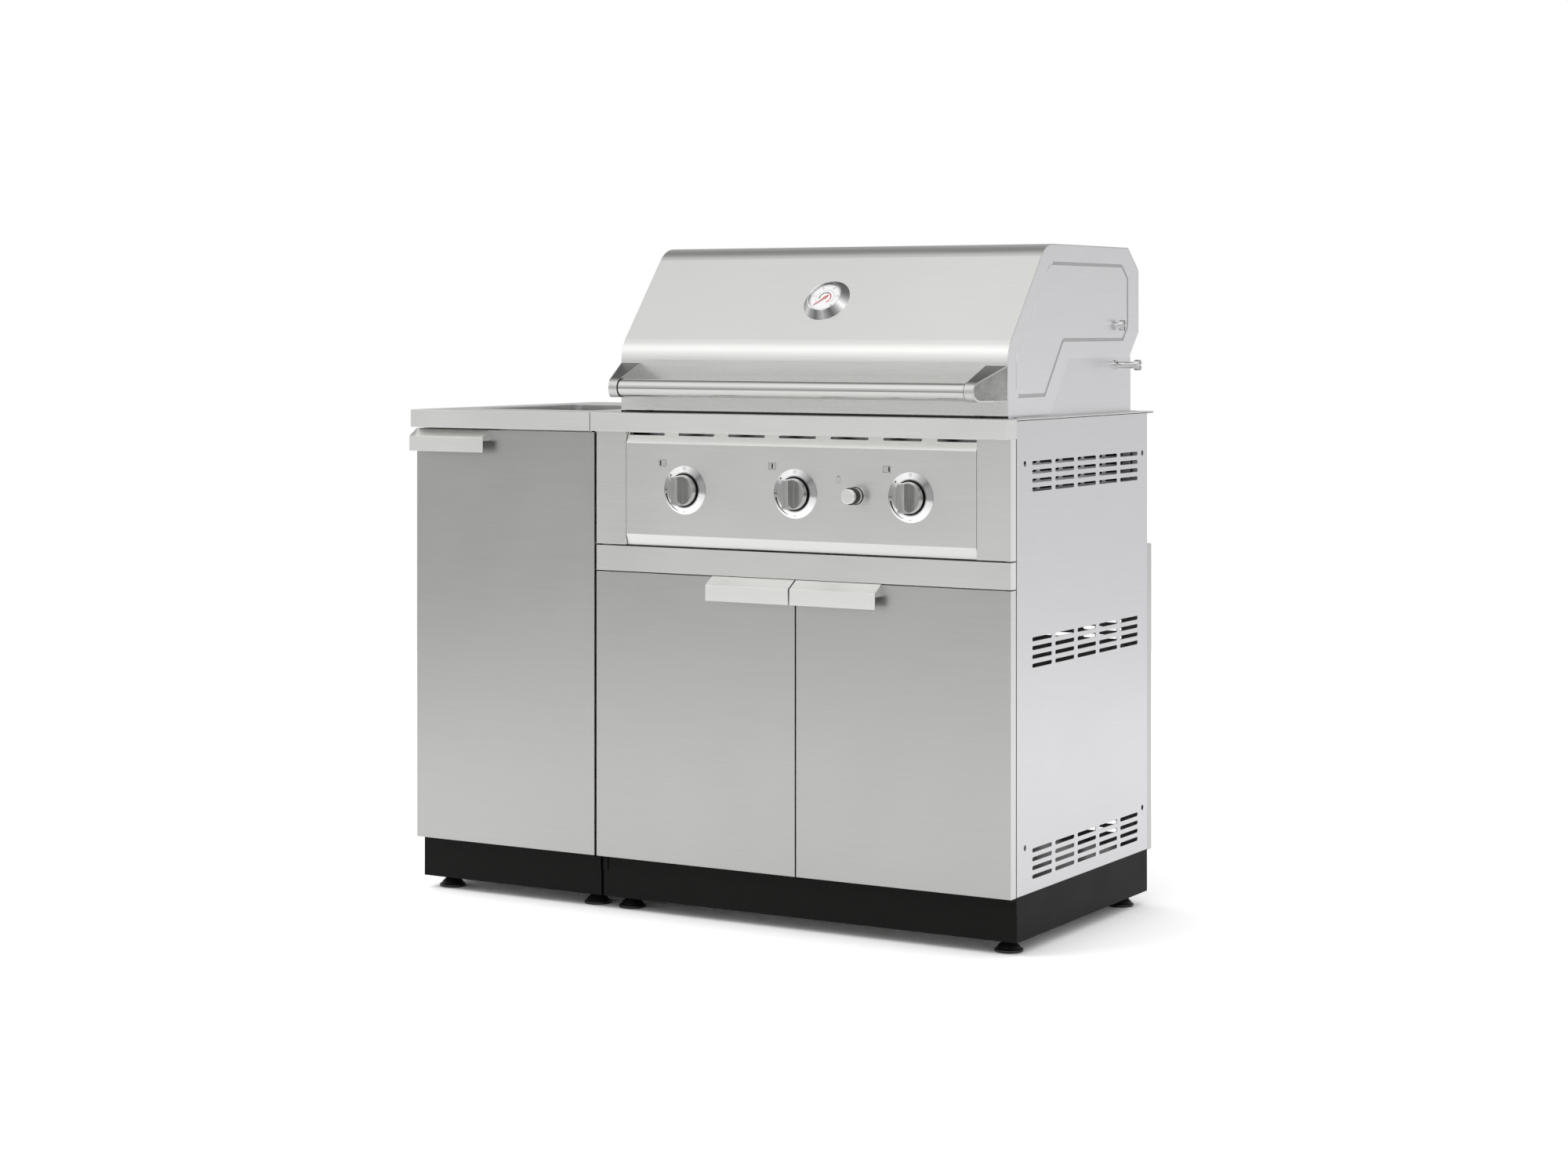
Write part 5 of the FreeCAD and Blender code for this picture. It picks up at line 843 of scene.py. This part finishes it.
def panel_icons():
    """Small burner plans beside the knobs and a battery beside the igniter."""
    low, high = ICON_LOW, MARK_THICKNESS
    grey, black = [], []
    for index, x in enumerate(KNOB_X):
        drawn, solid = bmesh.new(), bmesh.new()
        outline(drawn, 0, 0, *ICON_SIZE, ICON_LINE, low, high)
        for cell in range(len(KNOB_X)):
            middle = (cell - 1) * CELL_SPACING
            if cell == index:
                plate(solid, rectangle(middle, 0, *LIT_CELL), low, high)
            else:
                outline(drawn, middle, 0, *UNLIT_CELL, CELL_LINE, low, high)
        place = on_front(x + ICON_OFFSET[0], KNOB_Z + ICON_OFFSET[1])
        grey.append((drawn, place))
        black.append((solid, place.copy()))
    battery = bmesh.new()
    outline(battery, 0, -1.0, *BATTERY_SIZE, BATTERY_LINE, low, high)
    for y, width, height in BATTERY_PARTS:
        plate(battery, rectangle(0, y, width, height), low, high)
    grey.append((battery, on_front(IGNITER_X + BATTERY_OFFSET[0], KNOB_Z + BATTERY_OFFSET[1])))
    piece("panel_icon_lines", grey, inks["grey"], "cabinet")
    piece("panel_icon_bars", black, inks["black"], "cabinet")


def dust_rings():
    """Black dust rings on the bezels' floors, behind the knobs."""
    rings = []
    for x in KNOB_X:
        shape = bmesh.new()
        lathe(shape, DUST_RING, 64)
        rings.append((shape, on_front(x, KNOB_Z)))
    piece("knob_dust_rings", rings, finishes["black_plastic"], "cabinet", 30)


def igniter_cap():
    """Black cap on the front half of the igniter's collar, and a black gasket at its foot."""
    shape = bmesh.new()
    inner, mouth = COLLAR_RADIUS + CAP_SIDE_GAP, COLLAR_FRONT + CAP_FRONT_GAP
    outer, front = inner + CAP_THICKNESS, mouth + CAP_THICKNESS
    hole = BUTTON_RADIUS + CAP_HOLE_GAP
    lathe(shape, [(inner, CAP_BACK), (outer, CAP_BACK), (outer, front), (hole, front), (hole, mouth),
                  (inner, mouth)], 40)
    foot, head, width = GASKET
    lathe(shape, [(inner, foot), (inner + width, foot), (inner + width, head), (inner, head)], 40)
    piece("igniter_cap", [(shape, on_front(IGNITER_X, KNOB_Z))], finishes["black_plastic"], "cabinet")


# Seams
def painted_shade_strips():
    """Painted shade: black sheets standing for the shade in the seams of the cabinets' front edges, beside
    the right side and in the gap under the hood.
    """
    drawings = []
    for left, right, low, high in SEAM_SHADES:
        seam_shade = bmesh.new()
        points = rectangle((left + right) / 2, (low + high) / 2, right - left, high - low)
        plate(seam_shade, points, SEAM_SHADE_LIFT, SEAM_SHADE_THICKNESS)
        drawings.append((seam_shade, on_front(0, 0, CARCASS_FRONT)))
    strips = tuple(((left + right) / 2, STRIP_MIDDLE, right - left, STRIP_HEIGHT, -STRIP_BACK, -STRIP_FRONT)
                   for left, right in HOOD_STRIPS)
    for x, z, width, height, back, front in SIDE_SHADES + strips:
        side_shade = bmesh.new()
        plate(side_shade, rectangle(x, z, width, height), back, front)
        drawings.append((side_shade, on_front(0, 0)))
    piece("cabinet_seals", drawings, finishes["black_rubber"], "cabinet")


# Hood handle
RING_PROFILE = ((15.72, 0), (16.8, 0), (17.1, 0.3), (17.1, BAR_RING - 0.3), (16.8, BAR_RING),
                (15.72, BAR_RING))
FACE_INSET = 2.4
FACE_LEVELS = (-0.4, 0.05)
EDGE_INSET = 0.05
EDGE_LOW = -0.3
EDGE_OUTER_TOP = 0.25
EDGE_INNER_TOP = 0.75
TOP_FACE_DEPTH = 0.3
TOP_FACE_RISE = 0.06
TOP_FACE_INSET = 1.0
TOP_FACE_EDGE = 1.6
TOP_FACE_BACK = 0.4


def bar_rings():
    """Black rings where the bar enters its brackets."""
    rings = []
    for x in (2 * GRILL_X - BAR_INNER_X, BAR_INNER_X - BAR_RING):
        shape = bmesh.new()
        lathe(shape, RING_PROFILE, 48)
        rings.append((shape, facing(at(x, BAR_Y, BAR_Z), (0, 1, 0), (0, 0, 1))))
    piece("bar_end_rings", rings, finishes["black_rubber"], "hood", 40)


def bracket_outline(inset):
    """The bracket's side as flat points round the bar's middle, moved inwards by an inset."""
    radius = NOSE_RADIUS - inset
    points = ring_points(radius, -90, -270 + math.degrees(BRACKET_SLOPE), 24)
    drop = inset * (1 + math.tan(BRACKET_SLOPE))
    points.append((BRACKET_REACH - inset, BRACKET_RISE - drop))
    points.append((BRACKET_REACH - inset, -radius))
    return points


def bracket_sides():
    """Grainy sunk face and bright raised edge on the slanted outer side of each bracket."""
    faces, rims = [], []
    run = math.hypot(BRACKET_SLANT, BRACKET_REACH + NOSE_RADIUS)
    lean, ahead = BRACKET_SLANT / run, (BRACKET_REACH + NOSE_RADIUS) / run
    for side in (1, -1):
        x = GRILL_X + side * (HOOD_X1 - GRILL_X - BRACKET_REACH * lean / ahead)
        place = facing(at(x, BAR_Y, BAR_Z), (lean, side * ahead, 0), (0, 0, 1))
        inner = [(side * u / ahead, v) for u, v in bracket_outline(FACE_INSET)]
        outer = [(side * u / ahead, v) for u, v in bracket_outline(EDGE_INSET)]
        face, rim = bmesh.new(), bmesh.new()
        plate(face, inner, *FACE_LEVELS)
        frame_of(rim, ((outer, EDGE_LOW), (outer, EDGE_OUTER_TOP),
                       (inner, EDGE_INNER_TOP), (inner, EDGE_LOW)))
        faces.append((face, place))
        rims.append((rim, place.copy()))
    piece("bracket_sunk_faces", faces, grainy_cast, "hood")
    piece("bracket_bright_edges", rims, finishes["chrome_trim"], "hood", 40)


def bracket_tops():
    """Grit-blasted upper faces of the brackets, a little inside their edges."""
    y = -NOSE_RADIUS * math.sin(BRACKET_SLOPE)
    z = NOSE_RADIUS * math.cos(BRACKET_SLOPE)
    run = math.hypot(BRACKET_REACH - y, BRACKET_RISE - z)
    inner = abs(BAR_INNER_X - HOOD_X1) - TOP_FACE_INSET
    edge = BRACKET_SLANT * (BRACKET_REACH - y) / (BRACKET_REACH + NOSE_RADIUS) + TOP_FACE_EDGE
    back = run - TOP_FACE_BACK
    points = [(-inner, TOP_FACE_INSET), (-edge, TOP_FACE_INSET), (-TOP_FACE_EDGE, back), (-inner, back)]
    slope = (0, math.cos(BRACKET_SLOPE), math.sin(BRACKET_SLOPE))
    faces = []
    for side in (1, -1):
        x = GRILL_X + side * (HOOD_X1 - GRILL_X)
        face = bmesh.new()
        plate(face, points, -side * TOP_FACE_DEPTH, side * TOP_FACE_RISE)
        faces.append((face, facing(at(x, BAR_Y + y, BAR_Z + z), (side, 0, 0), slope)))
    piece("bracket_top_faces", faces, dark_cast, "hood")


# Feet
FOOT_INSET = 36
FOOT_DEPTH_INSET = 42
FOOT_RIM = ((0, 0), (24.0, 0), (24.8, 0.6), (25.0, 1.4), (25.0, 4.0), (24.6, 4.7), (23.6, 5.0), (22.8, 5.2))
BELL_RIM = 22.0
BELL_NARROWING = 12.0
BELL_FOOT = 5.6
BELL_HEIGHT = 13.0
BELL_CURVE = 0.8
BELL_STEPS = 8
BELL_TOP = 23.9
STUD_RADIUS = 5.0
STUD_ROOT = 4.4
STUD_TIP = 4.0
STUD_TOP = 59.9
THREAD_START = 24
THREAD_END = 59.5
THREAD_PITCH = 0.8
NUT_RADIUS = 9.0
NUT_LEVELS = (27.05, 34.6)


def foot_profile():
    """Half the section of a foot: its rim, the bell above it and the threaded stud."""
    profile = list(FOOT_RIM)
    for t in [i / BELL_STEPS for i in range(BELL_STEPS + 1)]:
        profile.append((BELL_RIM - BELL_NARROWING * t, BELL_FOOT + BELL_HEIGHT * t ** BELL_CURVE))
    profile += [(BELL_RIM - BELL_NARROWING, BELL_TOP), (STUD_RADIUS, BELL_TOP)]
    for turn in range(int((THREAD_END - THREAD_START) / THREAD_PITCH)):
        crest = THREAD_START + turn * THREAD_PITCH
        profile += [(STUD_RADIUS, crest), (STUD_ROOT, crest + THREAD_PITCH / 2)]
    return profile + [(STUD_TIP, STUD_TOP), (0, STUD_TOP)]


def feet():
    """Moulded bell feet with their nuts and threaded studs, in place of the plain ones."""
    drawings = []
    for left, right in ((LEFT_X0, LEFT_X1), (RIGHT_X0, RIGHT_X1)):
        for x in (left + FOOT_INSET, right - FOOT_INSET):
            for y in (PLINTH_FRONT + FOOT_DEPTH_INSET, CARCASS_BACK - FOOT_DEPTH_INSET):
                shape = bmesh.new()
                lathe(shape, foot_profile(), 40, closed=False)
                plate(shape, ring_points(NUT_RADIUS, 0, 300, 5), *NUT_LEVELS)
                drawings.append((shape, on_level(x, y, 0)))
    made = piece("moulded_feet", drawings, finishes["black_plastic"], "cabinet", 35)
    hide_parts("levelling_feet")


# Fasteners and small fittings
SCREW_SIDE_INSET = 12
SCREW_BOTTOM_INSET = 14
SCREW_TOP_INSET = 18
SCREWS_UP = 4
SCREWS_LEFT_SHEET = 4
SCREWS_RIGHT_SHEET = 7
STRAINER_DOME = ((0, 2.6), (10, 2.5), (22, 1.9), (33, 0.6), (38.5, -0.9), (38.5, -1.9), (32, -0.5), (20, 0.8),
                 (0, 1.5))
# Rings of holes: radius, number and level
STRAINER_RINGS = ((8, 6, 2.55), (15, 12, 2.3), (22, 18, 1.95), (28.5, 24, 1.25))
# A strainer hole's black disc with its rim, painted shade in place of an opening
HOLE_RIM = ((0, -0.1), (1.9, -0.1), (2.1, 0.06), (1.8, 0.1), (0, 0.05))
PEG = ((0, 0), (3.0, 0), (3.0, 9.2), (2.4, 10.0), (0, 10.0))
WASHER = ((0, 0), (5.2, 0), (5.2, 0.7), (4.9, 1.0), (0, 1.0))
HEAD_RADIUS = 3.6
HEAD_LEVELS = (1.0, 3.6)
HEAD_CROWN = ((0, 3.6), (3.0, 3.6), (2.6, 4.0), (0, 4.0))
NIPPLE_HEAD = ((0, 0), (6.0, 0), (6.0, -3.0), (4.2, -4.0))
NIPPLE_END = ((3.4, -25.5), (0, -25.5))
BARB = ((5.2, -5.5), (4.1, -9.4))
BARBS = 4
BARB_PITCH = 5
SIDE_SHEET = 1.5
RACK_WIRE_RADIUS = 0.002
RACK_WIRES = 9


def hex_screw():
    """Hexagon screw head with its washer."""
    shape = bmesh.new()
    lathe(shape, WASHER, 20, closed=False)
    plate(shape, ring_points(HEAD_RADIUS, 0, 300, 5), *HEAD_LEVELS)
    lathe(shape, HEAD_CROWN, 12, closed=False)
    return shape


def back_screws():
    """Screws round the edges of the back sheets."""
    places = []
    for left, right, high, count in ((LEFT_X0, LEFT_X1, COUNTER_TOP, SCREWS_LEFT_SHEET),
                                     (RIGHT_X0, RIGHT_X1, BACK_PAN_TOP, SCREWS_RIGHT_SHEET)):
        first, last = left + SCREW_SIDE_INSET, right - SCREW_SIDE_INSET
        bottom, top = FLOOR + SCREW_BOTTOM_INSET, high - SCREW_TOP_INSET
        for x in (first, last):
            for step in range(SCREWS_UP):
                places.append(at(x, BACK_PAN_BACK, bottom + (top - bottom) * step / (SCREWS_UP - 1)))
        for z in (bottom, top):
            for step in range(1, count - 1):
                places.append(at(first + (last - first) * step / (count - 1), BACK_PAN_BACK, z))
    repeat_part("back_sheet_screws", hex_screw(), places, TO_BACK, finishes["chrome_trim"], "cabinet")


def shelf_pegs():
    """Pegs that carry the shelf of the left cabinet."""
    for name, x, turn in (("left", LEFT_X0 + SIDE_SHEET, TO_RIGHT), ("right", LEFT_X1 - SIDE_SHEET, TO_LEFT)):
        shape = bmesh.new()
        lathe(shape, PEG, 16, closed=False)
        places = [at(x, y, SHELF_PEG_LEVEL) for y in SHELF_PEG_PLACES]
        repeat_part(name + "_shelf_pegs", shape, places, turn, finishes["chrome_trim"], "cabinet")


def burner_ports():
    """Flame ports in two rows along each burner, drawn as dark rimmed discs: painted shade in place of the
    holes.
    """
    out = BURNER_RADIUS * math.sin(math.radians(PORT_ANGLE))
    up = BURNER_RADIUS * math.cos(math.radians(PORT_ANGLE))
    for name, side in (("right", 1), ("left", -1)):
        shape = bmesh.new()
        lathe(shape, PORT_RIM, 10, closed=False)
        places = [at(x + side * out, PORT_START + PORT_STEP * step, KNOB_Z + up)
                  for x in KNOB_X for step in range(PORT_COUNT)]
        repeat_part(name + "_burner_ports", shape, places, (0, side * PORT_ANGLE, 0),
                    finishes["cast_iron_grate"], "cabinet")


def strainer():
    """Domed strainer over the drain, with its holes drawn as black discs: painted shade in place of openings.
    """
    dome = bmesh.new()
    lathe(dome, STRAINER_DOME, 48, closed=False)
    piece("drain_strainer", [(dome, on_level(*DRAIN_MIDDLE))], finishes["satin_basin_steel"], "cabinet",
          40)
    hole = bmesh.new()
    lathe(hole, HOLE_RIM, 12, closed=False)
    middle_x, middle_y, middle_z = DRAIN_MIDDLE
    places = []
    for radius, count, level in STRAINER_RINGS:
        for x, y in ring_points(radius, 0, 360 - 360 / count, count - 1):
            places.append(at(middle_x + x, middle_y + y, middle_z + level))
    repeat_part("strainer_holes", hole, places, FACING_UP, finishes["black_rubber"], "cabinet")


def hose_nipple():
    """Barbed brass nipple under the gas inlet."""
    shape = bmesh.new()
    barbs = [(radius, level - step * BARB_PITCH) for step in range(BARBS) for radius, level in BARB]
    lathe(shape, [*NIPPLE_HEAD, *barbs, *NIPPLE_END], 32, closed=False)
    piece("hose_nipple", [(shape, on_level(*INLET))], finishes["valve_brass"], "cabinet", 35)


def door_seals():
    """Rubber seal round the back of each door."""
    for name, x0, x1, top in (("left", LEFT_X0, LEFT_X1, LEFT_DOOR_TOP),
                              ("middle", RIGHT_X0, GRILL_X - DOOR_HALF_GAP, RIGHT_DOOR_TOP),
                              ("right", GRILL_X + DOOR_HALF_GAP, RIGHT_X1, RIGHT_DOOR_TOP)):
        width, height = x1 - x0 - 2 * SEAL_INSET, top - DOOR_BOTTOM - 2 * SEAL_INSET
        shape = bmesh.new()
        frame_of(shape, [(rectangle(0, 0, width - 2 * inset, height - 2 * inset), level)
                         for inset, level in SEAL_SECTION])
        place = facing(at((x0 + x1) / 2, DOOR_BACK, (top + DOOR_BOTTOM) / 2), (-1, 0, 0), (0, 0, 1))
        piece(name + "_door_seal", [(shape, place)], finishes["black_rubber"], name + "_door")


def rack_wires():
    """Warming rack of round wire, in place of the square bars."""
    low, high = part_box("warming_rack")
    r = RACK_WIRE_RADIUS
    x0, x1, y0, y1, z0, z1 = low[0] + r, high[0] - r, low[1] + r, high[1] - r, low[2], high[2] - r
    rows = [y0 + (y1 - y0) * step / (RACK_WIRES - 1) for step in range(RACK_WIRES)]
    lines = [((x0, y, z1), (x1, y, z1)) for y in rows]
    lines += [((x, y0, z1), (x, y1, z1)) for x in (x0, x1)]
    lines += [((x, y, z0), (x, y, z1)) for x in (x0, x1) for y in (y0, y1)]
    mesh = bpy.data.meshes.new("rack_lines")
    mesh.from_pydata([point for line in lines for point in line],
                     [(2 * i, 2 * i + 1) for i in range(len(lines))], [])
    made = grow("rack_wires", WIRES, mesh, {"Radius": r, "Finish": finishes["plain_stainless"]}, "cabinet")
    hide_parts("warming_rack")


gauge_print()
bezel_marks()
panel_icons()
dust_rings()
igniter_cap()
painted_shade_strips()
bar_rings()
bracket_sides()
bracket_tops()
feet()
back_screws()
shelf_pegs()
burner_ports()
strainer()
hose_nipple()
door_seals()
rack_wires()

# Floor and surroundings
STAGE_RADIUS = 4.4
SEEN_FLOOR = (1.4, 1.4, 1.4, 1)
MIRRORED_FLOOR = (1.22, 1.22, 1.22, 1)
WHITE = (1, 1, 1, 1)
ROOM = (0.85, 0.85, 0.85, 1)

# What metal reflects, by the angle over the front horizon in degrees: a dark band low in front, a bright
# ceiling in front of the zenith, a darker band just behind it and a pale wall at the back
REFLECTED = ((-180, 0.8), (-120, 0.85), (-50, 1.0), (-12, 0.95), (-6, 0.42), (-4, 0.45), (-1, 0.6), (5, 0.6),
             (11, 0.95), (25, 1.0), (36, 1.5), (52, 1.5), (78, 1.4), (95, 0.7), (105, 0.36), (125, 0.36),
             (136, 0.55), (150, 0.6), (180, 0.6))
BRIGHTEST = 1.5

# How the reflected room fades to its left: directions between which it changes, and its levels there
LEFT_FADE = (-0.62, -0.38, 0.9, 1.04)

LAMP_POWER = 48
LAMP_SIZE = 2.4
LAMP_PLACE = (-1.8, -2.4, 3.4)
LAMP_AIM = (0, 0, 0.7)

# Camera, found from the island's own right angles
CAMERA_PLACE = (2.85578, -4.85385, 1.08042)
CAMERA_TURN = 30.40
SENSOR_WIDTH = 36
LENS = 68.565
SHIFT_Y = -0.16827
VIEW_LIMIT = 100


def floor():
    """A round pale floor that shows white where nothing shades it."""
    mesh = bpy.data.meshes.new("studio_floor")
    shape = bmesh.new()
    bmesh.ops.create_circle(shape, cap_ends=True, segments=96, radius=STAGE_RADIUS)
    shape.to_mesh(mesh)
    shape.free()
    obj = bpy.data.objects.new("studio_floor", mesh)
    bpy.context.scene.collection.objects.link(obj)
    # Matt paper: even, with no highlight
    material, tree, place = start_material("matt white studio paper")
    grain = add(tree, "TexNoise", {"Vector": place.outputs["Object"], "Scale": 40.0, "Detail": 2.0})
    tone = add(tree, "Mix", {0: grain.outputs[0], 6: linear("#E9E9E9"), 7: linear("#EDEDED")},
               data_type="RGBA")
    path = add(tree, "LightPath")
    seen = add(tree, "Mix", {0: path.outputs["Is Camera Ray"], 6: tone.outputs[2], 7: SEEN_FLOOR},
               data_type="RGBA")
    mirrored = add(tree, "Mix", {0: path.outputs["Is Glossy Ray"], 6: seen.outputs[2], 7: MIRRORED_FLOOR},
                   data_type="RGBA")
    end_material(tree, add(tree, "BsdfDiffuse", {"Color": mirrored.outputs[2]}))
    mesh.materials.append(material)


def reflected_room(tree):
    """The bands and the left fade that shiny pieces show."""
    parts = add(tree, "SeparateXYZ", {0: add(tree, "TexCoord").outputs["Generated"]})
    ahead = add(tree, "Math", {0: parts.outputs[1], 1: -1.0}, operation="MULTIPLY")
    angle = add(tree, "Math", {0: parts.outputs[2], 1: ahead.outputs[0]}, operation="ARCTAN2")
    bands = angle_ramp(tree, angle.outputs[0], [(degrees, level / BRIGHTEST) for degrees, level in REFLECTED])
    start, end, left, rest = LEFT_FADE
    fade = add(tree, "MapRange", {0: parts.outputs[0], 1: start, 2: end,
                                  3: left * BRIGHTEST, 4: rest * BRIGHTEST})
    return add(tree, "VectorMath", {0: bands, "Scale": fade.outputs[0]}, operation="SCALE").outputs[0]


def surroundings():
    """A white room, which shiny pieces see with the bands that a photographer's studio puts in metal."""
    world = bpy.data.worlds.new("studio")
    bpy.context.scene.world = world
    world.use_nodes = True
    tree = world.node_tree
    tree.nodes.clear()
    path = add(tree, "LightPath")
    shiny = add(tree, "Math", {0: path.outputs["Is Glossy Ray"], 1: path.outputs["Is Transmission Ray"]},
                operation="MAXIMUM")
    unseen = add(tree, "Mix", {0: shiny.outputs[0], 6: ROOM, 7: reflected_room(tree)}, data_type="RGBA")
    final = add(tree, "Mix", {0: path.outputs["Is Camera Ray"], 6: unseen.outputs[2], 7: WHITE},
                data_type="RGBA")
    background = add(tree, "Background", {"Color": final.outputs[2], "Strength": 1.0})
    add(tree, "OutputWorld", {"Surface": background.outputs[0]})


def softbox():
    """One soft lamp, high at the front left, which shiny pieces don't show."""
    lamp = bpy.data.lights.new("softbox", "AREA")
    lamp.energy = LAMP_POWER
    lamp.size = LAMP_SIZE
    holder = bpy.data.objects.new("softbox", lamp)
    holder.location = LAMP_PLACE
    holder.rotation_euler = (Vector(LAMP_AIM) - Vector(holder.location)).to_track_quat("-Z", "Y").to_euler()
    holder.visible_glossy = False
    bpy.context.scene.collection.objects.link(holder)


def camera():
    """A level camera at the photograph's place, with its lens shifted down."""
    data = bpy.data.cameras.new("camera")
    data.sensor_width = SENSOR_WIDTH
    data.lens = LENS
    data.shift_y = SHIFT_Y
    data.clip_end = VIEW_LIMIT
    holder = bpy.data.objects.new("camera", data)
    holder.location = CAMERA_PLACE
    holder.rotation_euler = (math.radians(90), 0, math.radians(CAMERA_TURN))
    bpy.context.scene.collection.objects.link(holder)
    bpy.context.scene.camera = holder


floor()
surroundings()
softbox()
camera()
bpy.context.scene.view_settings.view_transform = "Standard"
